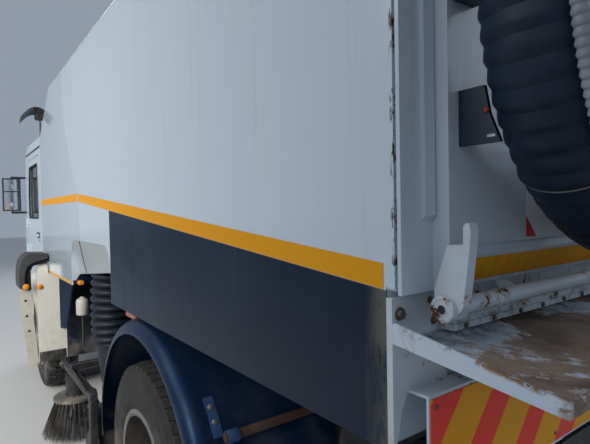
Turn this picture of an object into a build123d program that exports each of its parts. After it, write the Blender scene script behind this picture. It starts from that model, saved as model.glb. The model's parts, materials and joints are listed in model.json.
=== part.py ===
from build123d import *
from math import cos, degrees, hypot, pi, radians, sin
import os

# Truck-mounted vacuum street sweeper, in millimetres.
# +X forward, +Y left, +Z up; the ground is Z = 0 and X = 0 is the middle of the length.
# Every place along X is measured forward from BODY_X, the rear edge of the hopper's side.

# Overall sizes
OVERALL_LENGTH = 6640.0
REAR_REACH = 385.0
BODY_X = -OVERALL_LENGTH / 2 + REAR_REACH
FRONT_X = OVERALL_LENGTH / 2
BODY_HALF_WIDTH = 1200.0
GAP = 0.3
MOVING_GAP = 8.0

# Wheels and axles
TYRE_RADIUS = 522.0
TYRE_WIDTH = 285.0
TYRE_SHOULDER = 34.0
RIM_RADIUS = 298.0
RIM_LIP = 18.0
HUB_RADIUS = 105.0
BORE_CLEARANCE = 0.05
STUB_RADIUS = 45.0
STUD_COUNT = 10
STUD_CIRCLE = 167.5
STUD_RADIUS = 13.0
REAR_AXLE_X = BODY_X + 1630.0
FRONT_AXLE_X = FRONT_X - 1355.0
REAR_TYRE_OUTER_Y = 1210.0
TWIN_GAP = 50.0
KINGPIN_Y = 850.0
FRONT_TYRE_OUTER_Y = KINGPIN_Y + 350.0
KINGPIN_RADIUS = 22.0

# Chassis
RAIL_OUTER_Y = 400.0
RAIL_FLANGE = 75.0
RAIL_PLATE = 8.0
RAIL_HEIGHT = 240.0
RAIL_TOP_Z = 960.0
RAIL_REAR_X = BODY_X + 110.0
RAIL_FRONT_X = FRONT_X - 330.0
SUBFRAME_HEIGHT = 110.0

# Hopper
HOPPER_FLOOR_Z = 1285.0
SIDE_TOP_Z = 2955.0
ROOF_CROWN = 55.0
ROOF_ROUND = 60.0
HOPPER_WALL = 36.0
HOPPER_FRONT = 2910.0
HOPPER_KNEE_Z = 1966.0
HOPPER_LEAN = 470.0
FLANGE_LOW_Z = 1625.0
FLANGE_WIDTH = 60.0
RECESS_REAR = 2105.0
RECESS_FRONT = 3180.0
RECESS_TOP_Z = 1610.0
RECESS_ROUND = 150.0
RECESS_INNER_Y = 690.0
PIVOT_X = BODY_X + 150.0
PIVOT_Z = 1015.0
PIVOT_RADIUS = 30.0

# Rear door and what it carries
LOAD_FLOOR_Z = 1560.0
DOOR_PIN = 12.0
DOOR_HINGE_Y = (-800.0, 0.0, 800.0)
HINGE_PAIR = 50.0
DOOR_SEAM = 25.0
DOOR_FLANGE = 10.0
DOOR_BOX_INSET = 100.0
DOOR_BOX_REAR = 85.0
DOOR_SKIN = 8.0
DOOR_BOTTOM_Z = 1621.0
DOOR_LIP_Z = 1716.0
DOOR_HINGE_X = BODY_X - 45.0
DOOR_HINGE_Z = SIDE_TOP_Z - 20.0

# Canopy over the auxiliary engine
CANOPY_FRONT = OVERALL_LENGTH - REAR_REACH - 1745.0
CANOPY_BOTTOM_Z = 1262.0
CANOPY_SLOPE_X = 3670.0
CANOPY_NOSE_Z = 2530.0

# Cab
CAB_REAR_X = FRONT_X - 1675.0
CAB_FRONT_X = FRONT_X - 45.0
CAB_HALF_WIDTH = 1150.0
CAB_FLOOR_Z = 1225.0
CAB_ROOF_Z = 2610.0
CAB_WALL = 45.0
CAB_NOSE_Z = 980.0
CAB_TILT_X = FRONT_X - 130.0
CAB_TILT_Z = 935.0
CAB_PIN = 18.0

# Tipping cylinders
CYLINDER_Y = 190.0
CYLINDER_RADIUS = 45.0
CYLINDER_FOOT_X = BODY_X + 1200.0
CYLINDER_FOOT_Z = 600.0
CYLINDER_EYE_X = BODY_X + 700.0
CYLINDER_EYE_Z = 1160.0
FOOT_PIN = 15.0


def block(x0, x1, y0, y1, z0, z1):
    """A box between two corners."""
    centre = Pos((x0 + x1) / 2, (y0 + y1) / 2, (z0 + z1) / 2)
    return centre * Box(x1 - x0, y1 - y0, z1 - z0)


def rod_x(x0, x1, y, z, radius):
    return Pos((x0 + x1) / 2, y, z) * Rot(0, 90, 0) * Cylinder(radius, x1 - x0)


def rod_y(x, y0, y1, z, radius):
    return Pos(x, (y0 + y1) / 2, z) * Rot(90, 0, 0) * Cylinder(radius, y1 - y0)


def rod_z(x, y, z0, z1, radius):
    return Pos(x, y, (z0 + z1) / 2) * Cylinder(radius, z1 - z0)


def side_plate(points, y0, y1):
    """A plate parallel to the vehicle's side, from its outline in X and Z."""
    outline = Polyline(*[(x, y0, z) for x, z in points], close=True)
    return extrude(make_face(outline), amount=y1 - y0, dir=(0, 1, 0))


def cross_plate(points, x0, x1):
    """A plate across the vehicle, from its outline in Y and Z."""
    outline = Polyline(*[(x0, y, z) for y, z in points], close=True)
    return extrude(make_face(outline), amount=x1 - x0, dir=(1, 0, 0))


def floor_plate(points, z0, z1):
    """A level plate from its outline in X and Y."""
    outline = Polyline(*[(x, y, z0) for x, y in points], close=True)
    return extrude(make_face(outline), amount=z1 - z0, dir=(0, 0, 1))


def across(shape):
    """The same shape on the vehicle's other side."""
    return mirror(shape, Plane.XZ)


def both(shape):
    return [shape, across(shape)]


def save(name, *shapes):
    """Write one node with every solid of the shapes."""
    solids = []
    for shape in shapes:
        parts = shape if isinstance(shape, (list, tuple)) else [shape]
        for part in parts:
            solids.extend(part.solids())
    whole = solids[0] if len(solids) == 1 else Compound(solids)
    export_step(whole, f"parts/{name}.step")


def rod_between(start, end, radius):
    """A round bar from one point to another."""
    a = Vector(*start)
    b = Vector(*end)
    place = Plane(origin=a, z_dir=b - a)
    return extrude(place * Circle(radius), amount=(b - a).length)


# Wheels

def tyre(outer_y, axle_x):
    """One tyre on the left side, its outer wall at outer_y."""
    inner_y = outer_y - TYRE_WIDTH
    bead = RIM_RADIUS - RIM_LIP
    bulge = 12.0
    shoulder_z = TYRE_RADIUS - TYRE_SHOULDER
    wall = 30.0
    points = [
        (bead, inner_y + bulge), (RIM_RADIUS + 1.0, inner_y + bulge), (shoulder_z, inner_y),
        (TYRE_RADIUS, inner_y + TYRE_SHOULDER),
        (TYRE_RADIUS, outer_y - TYRE_SHOULDER), (shoulder_z, outer_y),
        (RIM_RADIUS + 1.0, outer_y - bulge), (bead, outer_y - bulge),
        (bead, outer_y - bulge - wall), (bead + 30.0, outer_y - bulge - wall),
        (bead + 30.0, inner_y + bulge + wall), (bead, inner_y + bulge + wall),
    ]
    outline = Polyline(*[(axle_x, y, TYRE_RADIUS + r) for r, y in points], close=True)
    return revolve(make_face(outline), axis=Axis((axle_x, 0, TYRE_RADIUS), (0, 1, 0)))


def rim(outer_y, axle_x, root_y, face_y):
    """A rim that fills the tyre's bead; its disc leaves the barrel at root_y and ends flat at face_y."""
    inner_y = outer_y - TYRE_WIDTH
    seat = RIM_RADIUS - RIM_LIP - GAP
    lip = RIM_RADIUS
    barrel = seat - 14.0
    half = 7.0
    knee = 225.0
    eye = HUB_RADIUS + 8.0
    face_out = outer_y - 12.0 + GAP
    face_in = inner_y + 12.0 - GAP
    points = [
        (lip, face_out), (lip, face_out + 8.0), (barrel, face_out + 8.0), (barrel, root_y + half),
        (knee, face_y + half), (eye, face_y + half), (eye, face_y - half), (knee, face_y - half),
        (barrel, root_y - half), (barrel, face_in - 8.0), (lip, face_in - 8.0), (lip, face_in),
        (seat, face_in), (seat, face_out),
    ]
    outline = Polyline(*[(axle_x, y, TYRE_RADIUS + r) for r, y in points], close=True)
    return revolve(make_face(outline), axis=Axis((axle_x, 0, TYRE_RADIUS), (0, 1, 0)))


def stud_ring(outer_face_y, axle_x, length):
    """Wheel studs and nuts on the disc's bolt circle, pointing outward."""
    studs = []
    for index in range(STUD_COUNT):
        angle = 2 * pi * index / STUD_COUNT
        x = axle_x + STUD_CIRCLE * cos(angle)
        z = TYRE_RADIUS + STUD_CIRCLE * sin(angle)
        studs.append(rod_y(x, outer_face_y, outer_face_y + length, z, STUD_RADIUS))
    return studs


FRONT_DISC_Y = FRONT_TYRE_OUTER_Y - 60.0
REAR_DISC_Y = REAR_TYRE_OUTER_Y - TYRE_WIDTH - TWIN_GAP / 2
HUB_CAP_LENGTH = 75.0
DISC_DISH = 60.0


def front_wheel():
    """Left front tyre and the rim with its hub, bored for the stub axle."""
    tread = tyre(FRONT_TYRE_OUTER_Y, FRONT_AXLE_X)
    metal = rim(FRONT_TYRE_OUTER_Y, FRONT_AXLE_X, FRONT_DISC_Y - DISC_DISH, FRONT_DISC_Y)
    hub_in = FRONT_DISC_Y - 150.0
    hub_out = FRONT_DISC_Y + HUB_CAP_LENGTH
    hub = rod_y(FRONT_AXLE_X, hub_in, hub_out, TYRE_RADIUS, HUB_RADIUS + 10.0)
    metal = metal + hub
    bore_out = hub_out - 40.0
    radius = STUB_RADIUS + BORE_CLEARANCE
    metal = metal - rod_y(FRONT_AXLE_X, hub_in - 1.0, bore_out, TYRE_RADIUS, radius)
    for stud in stud_ring(FRONT_DISC_Y + 8.0 - 1.0, FRONT_AXLE_X, 38.0):
        metal = metal + stud
    return tread, metal


def rear_wheel():
    """Left rear twin tyres and the rims on one hub."""
    treads = []
    metal = None
    inner_outer_y = REAR_TYRE_OUTER_Y - TYRE_WIDTH - TWIN_GAP
    for outer_y, side in ((REAR_TYRE_OUTER_Y, 1), (inner_outer_y, -1)):
        treads.append(tyre(outer_y, REAR_AXLE_X))
        face_y = REAR_DISC_Y + side * 6.0
        one = rim(outer_y, REAR_AXLE_X, face_y + side * DISC_DISH, face_y)
        metal = one if metal is None else metal + one
    hub_in = REAR_DISC_Y - 190.0
    hub_out = REAR_DISC_Y + 170.0
    hub = rod_y(REAR_AXLE_X, hub_in, hub_out, TYRE_RADIUS, HUB_RADIUS + 10.0)
    metal = metal + hub
    radius = STUB_RADIUS + BORE_CLEARANCE
    metal = metal - rod_y(REAR_AXLE_X, hub_in - 1.0, hub_out - 40.0, TYRE_RADIUS, radius)
    for stud in stud_ring(REAR_DISC_Y + 12.0, REAR_AXLE_X, 42.0):
        metal = metal + stud
    return treads, metal


def make_wheels():
    tread, metal = front_wheel()
    save("front_tyre_left", tread)
    save("front_wheel_left", metal)
    save("front_tyre_right", across(tread))
    save("front_wheel_right", across(metal))
    treads, metal = rear_wheel()
    save("rear_tyres_left", treads)
    save("rear_wheels_left", metal)
    save("rear_tyres_right", [across(one) for one in treads])
    save("rear_wheels_right", across(metal))


# Chassis

SPRING_Y = 470.0
SPRING_WIDTH = 76.0
AXLE_BEAM_HALF = 55.0


def rail():
    """One channel rail, open towards the middle."""
    low = RAIL_TOP_Z - RAIL_HEIGHT
    inner = RAIL_OUTER_Y - RAIL_FLANGE
    web = block(RAIL_REAR_X, RAIL_FRONT_X, RAIL_OUTER_Y - RAIL_PLATE, RAIL_OUTER_Y, low, RAIL_TOP_Z)
    top = block(RAIL_REAR_X, RAIL_FRONT_X, inner, RAIL_OUTER_Y, RAIL_TOP_Z - RAIL_PLATE, RAIL_TOP_Z)
    bottom = block(RAIL_REAR_X, RAIL_FRONT_X, inner, RAIL_OUTER_Y, low, low + RAIL_PLATE)
    return web + top + bottom


CROSS_MEMBERS = (0.0, 1290.0, 2350.0, 3350.0, 5740.0)
TOW_PLATE = 14.0
TOW_HOLE_RADIUS = 8.5
TOW_SPACING_Y = 160.0
TOW_SPACING_Z = 100.0


def make_chassis_frame():
    """Ladder frame: two channel rails, cross members and the drilled end plate."""
    frame = rail()
    frame = frame + across(frame)
    half = RAIL_OUTER_Y - RAIL_PLATE
    low = RAIL_TOP_Z - RAIL_HEIGHT + RAIL_PLATE
    for offset in CROSS_MEMBERS:
        x = RAIL_REAR_X + offset
        frame = frame + block(x, x + RAIL_PLATE, -half, half, low + 20.0, RAIL_TOP_Z - 30.0)
        frame = frame + block(x, x + 60.0, -half, half, low + 20.0, low + 28.0)
    end = block(RAIL_REAR_X - TOW_PLATE, RAIL_REAR_X, -RAIL_OUTER_Y, RAIL_OUTER_Y,
                RAIL_TOP_Z - RAIL_HEIGHT, RAIL_TOP_Z)
    tow_z = RAIL_TOP_Z - RAIL_HEIGHT / 2
    for y in (-TOW_SPACING_Y / 2, TOW_SPACING_Y / 2):
        for z in (tow_z - TOW_SPACING_Z / 2, tow_z + TOW_SPACING_Z / 2):
            plate_x = RAIL_REAR_X + RAIL_PLATE + 1
            end = end - rod_x(RAIL_REAR_X - TOW_PLATE - 1, plate_x, y, z, TOW_HOLE_RADIUS)
            frame = frame - rod_x(RAIL_REAR_X - 1, plate_x, y, z, TOW_HOLE_RADIUS)
    frame = frame + end
    inner = RAIL_OUTER_Y - RAIL_FLANGE
    lug_x = RAIL_REAR_X + CROSS_MEMBERS[1]
    for side in (1, -1):
        y = side * CYLINDER_Y
        for shift in (-CYLINDER_RADIUS - 16.0, CYLINDER_RADIUS + 4.0):
            lug = side_plate([
                (lug_x + 4.0, low + 20.0), (lug_x + 4.0, low + 120.0),
                (CYLINDER_FOOT_X - 40.0, CYLINDER_FOOT_Z + 40.0),
                (CYLINDER_FOOT_X - 40.0, CYLINDER_FOOT_Z - 40.0),
                (CYLINDER_FOOT_X + 30.0, CYLINDER_FOOT_Z - 40.0),
            ], y + shift, y + shift + 12.0)
            frame = frame + lug
    frame = frame - rod_y(CYLINDER_FOOT_X, -500.0, 500.0, CYLINDER_FOOT_Z, FOOT_PIN + BORE_CLEARANCE)
    mount_x = CAB_REAR_X + 60.0
    for side in (1, -1):
        y0, y1 = sorted((side * inner, side * RAIL_OUTER_Y))
        frame = frame + block(mount_x, mount_x + 80.0, y0, y1, RAIL_TOP_Z - 4.0, CAB_FLOOR_Z - GAP)
        y0, y1 = sorted((side * (inner + 45.0), side * (inner + 63.0)))
        foot_x = RAIL_FRONT_X - 30.0
        foot_z = RAIL_TOP_Z - 110.0
        bracket = block(foot_x, CAB_TILT_X + 28.0, y0, y1, foot_z, CAB_TILT_Z + 28.0)
        y0, y1 = sorted((side * (inner + 44.0), side * (RAIL_OUTER_Y - 2.0)))
        frame = frame + bracket + block(foot_x, RAIL_FRONT_X - 4.0, y0, y1, foot_z, RAIL_TOP_Z - 40.0)
    frame = frame - rod_y(CAB_TILT_X, -500.0, 500.0, CAB_TILT_Z, CAB_PIN + BORE_CLEARANCE)
    save("chassis_frame", frame)


HINGE_EAR = 24.0
HINGE_Y = 330.0


def make_subframe():
    """Long bearers on the rails, with the ears that the hopper tips about."""
    low = RAIL_TOP_Z + GAP
    top = low + SUBFRAME_HEIGHT
    rear = RAIL_REAR_X + 140.0
    front = BODY_X + CANOPY_FRONT - 250.0
    inner = RAIL_OUTER_Y - RAIL_FLANGE
    bearer = block(rear, front, inner, RAIL_OUTER_Y, low, top)
    whole = bearer + across(bearer)
    for x in (rear + 1000.0, BODY_X + HOPPER_FRONT, front - 80.0):
        whole = whole + block(x, x + 80.0, -inner, inner, low + 20.0, top - 20.0)
    ear_points = [
        (PIVOT_X - 60.0, PIVOT_Z - 54.0), (PIVOT_X - 60.0, PIVOT_Z + 20.0),
        (PIVOT_X - 30.0, PIVOT_Z + 52.0),
        (PIVOT_X + 40.0, PIVOT_Z + 52.0), (rear + 60.0, top - 8.0), (rear + 60.0, low),
        (PIVOT_X - 60.0, low),
    ]
    ear = side_plate(ear_points, HINGE_Y, HINGE_Y + HINGE_EAR)
    for one in both(ear):
        whole = whole + one
    pad_x = BODY_X + HOPPER_FRONT - 300.0
    for side in (1, -1):
        y0, y1 = sorted((side * inner, side * RAIL_OUTER_Y))
        whole = whole + block(pad_x, pad_x + 120.0, y0, y1, top - 1.0, SILL_LOW_Z - GAP)
        for x in (BODY_X + RECESS_FRONT + 120.0, front - 120.0):
            whole = whole + block(x, x + 80.0, y0, y1, top - 1.0, CANOPY_BOTTOM_Z - GAP)
    bore = rod_y(PIVOT_X, -500.0, 500.0, PIVOT_Z, PIVOT_RADIUS + BORE_CLEARANCE)
    save("subframe", whole - bore)


def make_axles():
    """Front beam with kingpin eyes and the rear housing with its differential."""
    z = TYRE_RADIUS
    drop = 90.0
    beam = block(FRONT_AXLE_X - 45.0, FRONT_AXLE_X + 45.0, -KINGPIN_Y + 160.0, KINGPIN_Y - 160.0,
                 z - drop - 45.0, z - drop + 45.0)
    for side in (1, -1):
        start = (FRONT_AXLE_X, side * (KINGPIN_Y - 190.0), z - drop)
        end = (FRONT_AXLE_X, side * (KINGPIN_Y - 30.0), z - 5.0)
        beam = beam + rod_between(start, end, 36.0)
        beam = beam + rod_z(FRONT_AXLE_X, side * KINGPIN_Y, z - 55.0, z + 55.0, 48.0)
    for side in (1, -1):
        bore = rod_z(FRONT_AXLE_X, side * KINGPIN_Y, z - 200.0, z + 200.0, KINGPIN_RADIUS + BORE_CLEARANCE)
        beam = beam - bore
    for side in (1, -1):
        y = side * SPRING_Y
        pad = block(FRONT_AXLE_X - 80.0, FRONT_AXLE_X + 80.0, y - SPRING_WIDTH / 2, y + SPRING_WIDTH / 2,
                    z - drop + 40.0, z - 20.0)
        beam = beam + pad
    save("front_axle", beam)

    hub_in = REAR_DISC_Y - 190.0
    housing = rod_y(REAR_AXLE_X, -hub_in + MOVING_GAP, hub_in - MOVING_GAP, z, 78.0)
    housing = housing + Pos(REAR_AXLE_X, 0, z) * Sphere(205.0)
    housing = housing + rod_x(REAR_AXLE_X, REAR_AXLE_X + 330.0, 0, z + 20.0, 70.0)
    housing = housing + rod_y(REAR_AXLE_X, -REAR_DISC_Y - 125.0, REAR_DISC_Y + 125.0, z, STUB_RADIUS)
    for side in (1, -1):
        y = side * SPRING_Y
        seat = block(REAR_AXLE_X - 90.0, REAR_AXLE_X + 90.0, y - SPRING_WIDTH / 2, y + SPRING_WIDTH / 2,
                     z + 50.0, z + 95.0)
        housing = housing + seat
    save("rear_axle", housing)


LEAF = 14.0
LEAF_COUNT = 5
LEAF_RISE = 62.0


def leaf_pack(axle_x, seat_z, half_span, side):
    """A pack of bowed leaves on its axle seat, with hanger brackets to the rail."""
    y0 = side * SPRING_Y - SPRING_WIDTH / 2
    y1 = y0 + SPRING_WIDTH
    bow = (half_span ** 2 + LEAF_RISE ** 2) / (2 * LEAF_RISE)
    centre_z = seat_z + bow
    pack = None
    for index in range(LEAF_COUNT):
        reach = degrees(half_span * (1.0 - 0.15 * index) / bow)
        inner = bow - LEAF * (LEAF_COUNT - index)
        one = arch_ring(axle_x, centre_z, inner, LEAF + 0.4, y0, y1, -90.0 - reach, -90.0 + reach)
        pack = one if pack is None else pack + one
    eye_z = centre_z - ((bow - LEAF * (LEAF_COUNT - 0.5)) ** 2 - half_span ** 2) ** 0.5
    web_y = RAIL_OUTER_Y + GAP
    for x in (axle_x - half_span, axle_x + half_span):
        pack = pack + rod_y(x, y0, y1, eye_z, 30.0)
        leaf_y = SPRING_Y - SPRING_WIDTH / 2 + 2.0
        web = block(x - 45.0, x + 45.0, web_y, leaf_y, eye_z - 30.0, eye_z + 120.0)
        cap = block(x - 45.0, x + 45.0, web_y, SPRING_Y + SPRING_WIDTH / 2, eye_z + 26.0, eye_z + 50.0)
        hanger = web + cap
        pack = pack + (hanger if side > 0 else across(hanger))
    return pack


def make_springs():
    packs = []
    for side in (1, -1):
        packs.append(leaf_pack(REAR_AXLE_X, TYRE_RADIUS + 95.0 + GAP + 0.5, 680.0, side))
        packs.append(leaf_pack(FRONT_AXLE_X, TYRE_RADIUS - 20.0 + GAP + 0.5, 640.0, side))
    save("leaf_springs", packs)


def make_knuckles():
    """Each steering knuckle: a fork round the beam's eye, its kingpin, stub axle and arm."""
    z = TYRE_RADIUS
    x = FRONT_AXLE_X
    y = KINGPIN_Y
    fork = 55.0 + 3.0
    body = block(x - 40.0, x + 40.0, y + 52.0, y + 100.0, z - fork - 30.0, z + fork + 30.0)
    body = body + rod_z(x, y, z + fork, z + fork + 30.0, 42.0)
    body = body + rod_z(x, y, z - fork - 30.0, z - fork, 42.0)
    body = body + block(x - 35.0, x + 35.0, y, y + 60.0, z + fork, z + fork + 30.0)
    body = body + block(x - 35.0, x + 35.0, y, y + 60.0, z - fork - 30.0, z - fork)
    body = body + rod_z(x, y, z - fork - 10.0, z + fork + 10.0, KINGPIN_RADIUS)
    hub_end = FRONT_DISC_Y + HUB_CAP_LENGTH - 50.0
    body = body + rod_y(x, y + 90.0, hub_end, z, STUB_RADIUS)
    arm = block(x - 210.0, x - 20.0, y - 22.0, y + 22.0, z - fork - 30.0, z - fork - 6.0)
    body = body + arm
    save("knuckle_left", body)
    save("knuckle_right", across(body))


def make_engine():
    """Engine and gearbox between the rails as one plain block."""
    engine = block(FRONT_AXLE_X - 250.0, NOSE_REAR_X - 40.0, -260.0, 260.0, 640.0, 1120.0)
    gearbox = block(FRONT_AXLE_X - 850.0, FRONT_AXLE_X - 249.0, -170.0, 170.0, 640.0, 920.0)
    start = (FRONT_AXLE_X - 840.0, 0, 720.0)
    end = (REAR_AXLE_X + 334.0, 0, TYRE_RADIUS + 20.0)
    save("engine", engine + gearbox + rod_between(start, end, 42.0))


def rounded_tank(x0, x1, y0, y1, z0, z1, radius):
    tank = block(x0, x1, y0, y1, z0, z1)
    return fillet(tank.edges().filter_by(Axis.X), radius)


def make_tanks():
    """Fuel tank on the left rail, battery box and air tanks on the right."""
    inner = RAIL_OUTER_Y + GAP
    low = BRUSH_ARM_TOP_Z + BRUSH_ARM_CLEARANCE
    fuel = rounded_tank(BODY_X + 3560.0, BODY_X + 4060.0, inner + 30.0, inner + 420.0, low, 920.0, 60.0)
    for x in (BODY_X + 3620.0, BODY_X + 3960.0):
        fuel = fuel + block(x, x + 40.0, inner, inner + 60.0, 740.0, 900.0)
    save("fuel_tank", fuel)
    box = block(BODY_X + 3560.0, BODY_X + 4060.0, -inner - 400.0, -inner, low, 920.0)
    save("battery_box", box)
    tanks = []
    for side in (1, -1):
        y0, y1 = sorted((side * inner, side * (inner + 60.0)))
        tank = rod_x(BODY_X + 250.0, BODY_X + 820.0, side * (RAIL_OUTER_Y + 115.0), 800.0, 105.0)
        tanks.append(tank + block(BODY_X + 350.0, BODY_X + 390.0, y0, y1, 740.0, 900.0))
    save("air_tanks", tanks)


# Mudguards

GUARD_CROWN = 746.0
GUARD_SKIN = 6.0
GUARD_ROLL = 72.0
GUARD_OUTER_Y = BODY_HALF_WIDTH + 22.0
GUARD_INNER_Y = 545.0
GUARD_REACH = 192.0


def arch_ring(cx, cz, radius, thick, y0, y1, angle0, angle1):
    """Part of a ring about an axle, from angle0 to angle1 in degrees, forward being 0."""
    a0 = radians(angle0)
    a1 = radians(angle1)
    am = (a0 + a1) / 2

    def at(r, a):
        return (cx + r * cos(a), y0, cz + r * sin(a))

    outer = radius + thick
    edges = [
        ThreePointArc(at(radius, a0), at(radius, am), at(radius, a1)),
        Line(at(radius, a1), at(outer, a1)),
        ThreePointArc(at(outer, a1), at(outer, am), at(outer, a0)),
        Line(at(outer, a0), at(radius, a0)),
    ]
    return extrude(make_face(Wire(edges)), amount=y1 - y0, dir=(0, 1, 0))


def make_rear_mudguards():
    """Arched guard over each pair of twins, its outer edge rolled down, with its support tube."""
    z = TYRE_RADIUS
    skin = GUARD_SKIN
    roll = GUARD_ROLL
    bend_y = GUARD_OUTER_Y - roll
    bend_r = GUARD_CROWN - roll
    half = 0.5 ** 0.5

    def at(r, y):
        return (REAR_AXLE_X + r, y, z)

    loop = [
        Line(at(GUARD_CROWN - skin, GUARD_INNER_Y), at(GUARD_CROWN, GUARD_INNER_Y)),
        Line(at(GUARD_CROWN, GUARD_INNER_Y), at(GUARD_CROWN, bend_y)),
        ThreePointArc(at(GUARD_CROWN, bend_y),
                      at(bend_r + roll * half, bend_y + roll * half),
                      at(bend_r, GUARD_OUTER_Y)),
        Line(at(bend_r, GUARD_OUTER_Y), at(bend_r, GUARD_OUTER_Y - skin)),
        ThreePointArc(at(bend_r, GUARD_OUTER_Y - skin),
                      at(bend_r + (roll - skin) * half, bend_y + (roll - skin) * half),
                      at(GUARD_CROWN - skin, bend_y)),
        Line(at(GUARD_CROWN - skin, bend_y), at(GUARD_CROWN - skin, GUARD_INNER_Y)),
    ]
    axis = Axis((REAR_AXLE_X, 0, z), (0, -1, 0))
    guard = revolve(make_face(Wire(loop)), axis=axis, revolution_arc=GUARD_REACH)
    guard = guard.rotate(axis, 90.0 - GUARD_REACH / 2)
    stay_x = REAR_AXLE_X - 575.0
    guard = guard + rod_y(stay_x, RAIL_OUTER_Y + GAP, GUARD_OUTER_Y - 100.0, z + 445.0, 22.0)
    save("rear_mudguards", both(guard))


FRONT_GUARD_INNER = 655.0


FRONT_GUARD_INNER_Y = 620.0
FRONT_GUARD_OUTER_Y = BODY_HALF_WIDTH + 100.0
FRONT_GUARD_SKIN = 12.0
FRONT_PANEL_BACK = 40.0
FRONT_PANEL_SKIN = 25.0
FRONT_PANEL_LOW_Z = 440.0
FRONT_PANEL_TOP_Z = 1250.0
FRONT_PANEL_EAR_Z = 1345.0
FRONT_PANEL_ROUND = 60.0


def make_front_mudguards():
    """Arch over each front wheel with the wide flat panel behind it."""
    inner_y = FRONT_GUARD_INNER_Y
    outer_y = FRONT_GUARD_OUTER_Y
    arch = arch_ring(FRONT_AXLE_X, TYRE_RADIUS, FRONT_GUARD_INNER, FRONT_GUARD_SKIN,
                     inner_y, outer_y, 8.0, 172.0)
    guard_x = FRONT_AXLE_X - FRONT_GUARD_INNER
    panel_x = guard_x - FRONT_PANEL_BACK
    front = panel_x + FRONT_PANEL_SKIN
    panel = block(panel_x, front, inner_y, outer_y, FRONT_PANEL_LOW_Z, FRONT_PANEL_TOP_Z)
    ear_y = BODY_HALF_WIDTH + SLIT
    panel = panel + block(panel_x, front, ear_y, outer_y, FRONT_PANEL_TOP_Z - 1.0, FRONT_PANEL_EAR_Z)
    corner = panel.edges().filter_by(Axis.X).sort_by(Axis.Z)[-2:].sort_by(Axis.Y)[-1]
    panel = fillet(corner, FRONT_PANEL_ROUND)
    web = block(front - 5.0, front + 35.0, inner_y, outer_y, 640.0, 700.0)
    stay = rod_y(guard_x - 30.0, RAIL_OUTER_Y + GAP, inner_y + 20.0, 850.0, 18.0)
    save("front_mudguards", both(arch + panel + web + stay))


# Hopper

SLIT = 10.0


def front_edge(shift):
    """The hopper's forward edge, from the recess up to the roof, moved along X by shift."""
    x = BODY_X + HOPPER_FRONT + shift
    foot = (x - 40.0, 0, RECESS_TOP_Z)
    knee = (x, 0, HOPPER_KNEE_Z)
    middle = (x + 0.62 * HOPPER_LEAN, 0, HOPPER_KNEE_Z + 340.0)
    head = (x + HOPPER_LEAN, 0, HOPPER_KNEE_Z + 724.0)
    top = (x + HOPPER_LEAN - 40.0, 0, SIDE_TOP_Z + ROOF_CROWN + 60.0)
    return [Line(foot, knee), ThreePointArc(knee, middle, head), Line(head, top)], foot, top


def hopper_profile():
    """Side outline of the hopper, level floor and leaning front."""
    edges, foot, top = front_edge(0.0)
    rear_top = (BODY_X, 0, top[2])
    rear_low = (BODY_X, 0, HOPPER_FLOOR_Z)
    front_low = (foot[0], 0, HOPPER_FLOOR_Z)
    loop = edges + [
        Line(top, rear_top), Line(rear_top, rear_low),
        Line(rear_low, front_low), Line(front_low, foot),
    ]
    half = BODY_HALF_WIDTH
    return Pos(0, -half, 0) * extrude(make_face(Wire(loop)), amount=2 * half, dir=(0, 1, 0))


def roof_section(half, low, side_top, crown, round_off, x0, x1):
    """The body's cross-section, square below and gently crowned on top."""
    edges = [
        Line((x0, -half, low), (x0, half, low)),
        Line((x0, half, low), (x0, half, side_top - round_off)),
        ThreePointArc((x0, half, side_top - round_off),
                      (x0, half - round_off * 0.29, side_top - round_off * 0.29),
                      (x0, half - round_off, side_top)),
        ThreePointArc((x0, half - round_off, side_top),
                      (x0, 0, side_top + crown),
                      (x0, round_off - half, side_top)),
        ThreePointArc((x0, round_off - half, side_top),
                      (x0, round_off * 0.29 - half, side_top - round_off * 0.29),
                      (x0, -half, side_top - round_off)),
        Line((x0, -half, side_top - round_off), (x0, -half, low)),
    ]
    return extrude(make_face(Wire(edges)), amount=x1 - x0, dir=(1, 0, 0))


def recess(grow, inner_y, outer_y):
    """The arched niche for the suction hose in the lower side, grown all round by grow."""
    x0 = BODY_X + RECESS_REAR - grow
    x1 = BODY_X + RECESS_FRONT + grow
    top = RECESS_TOP_Z + grow
    niche = block(x0, x1, inner_y - grow, outer_y, HOPPER_FLOOR_Z - 200.0, top)
    upper = niche.edges().filter_by(Axis.Y).group_by(Axis.Z)[-1]
    return fillet(upper, RECESS_ROUND)


HOSE_X = BODY_X + 2670.0
HOSE_Y = 1000.0
HOSE_RADIUS = 150.0


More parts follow.
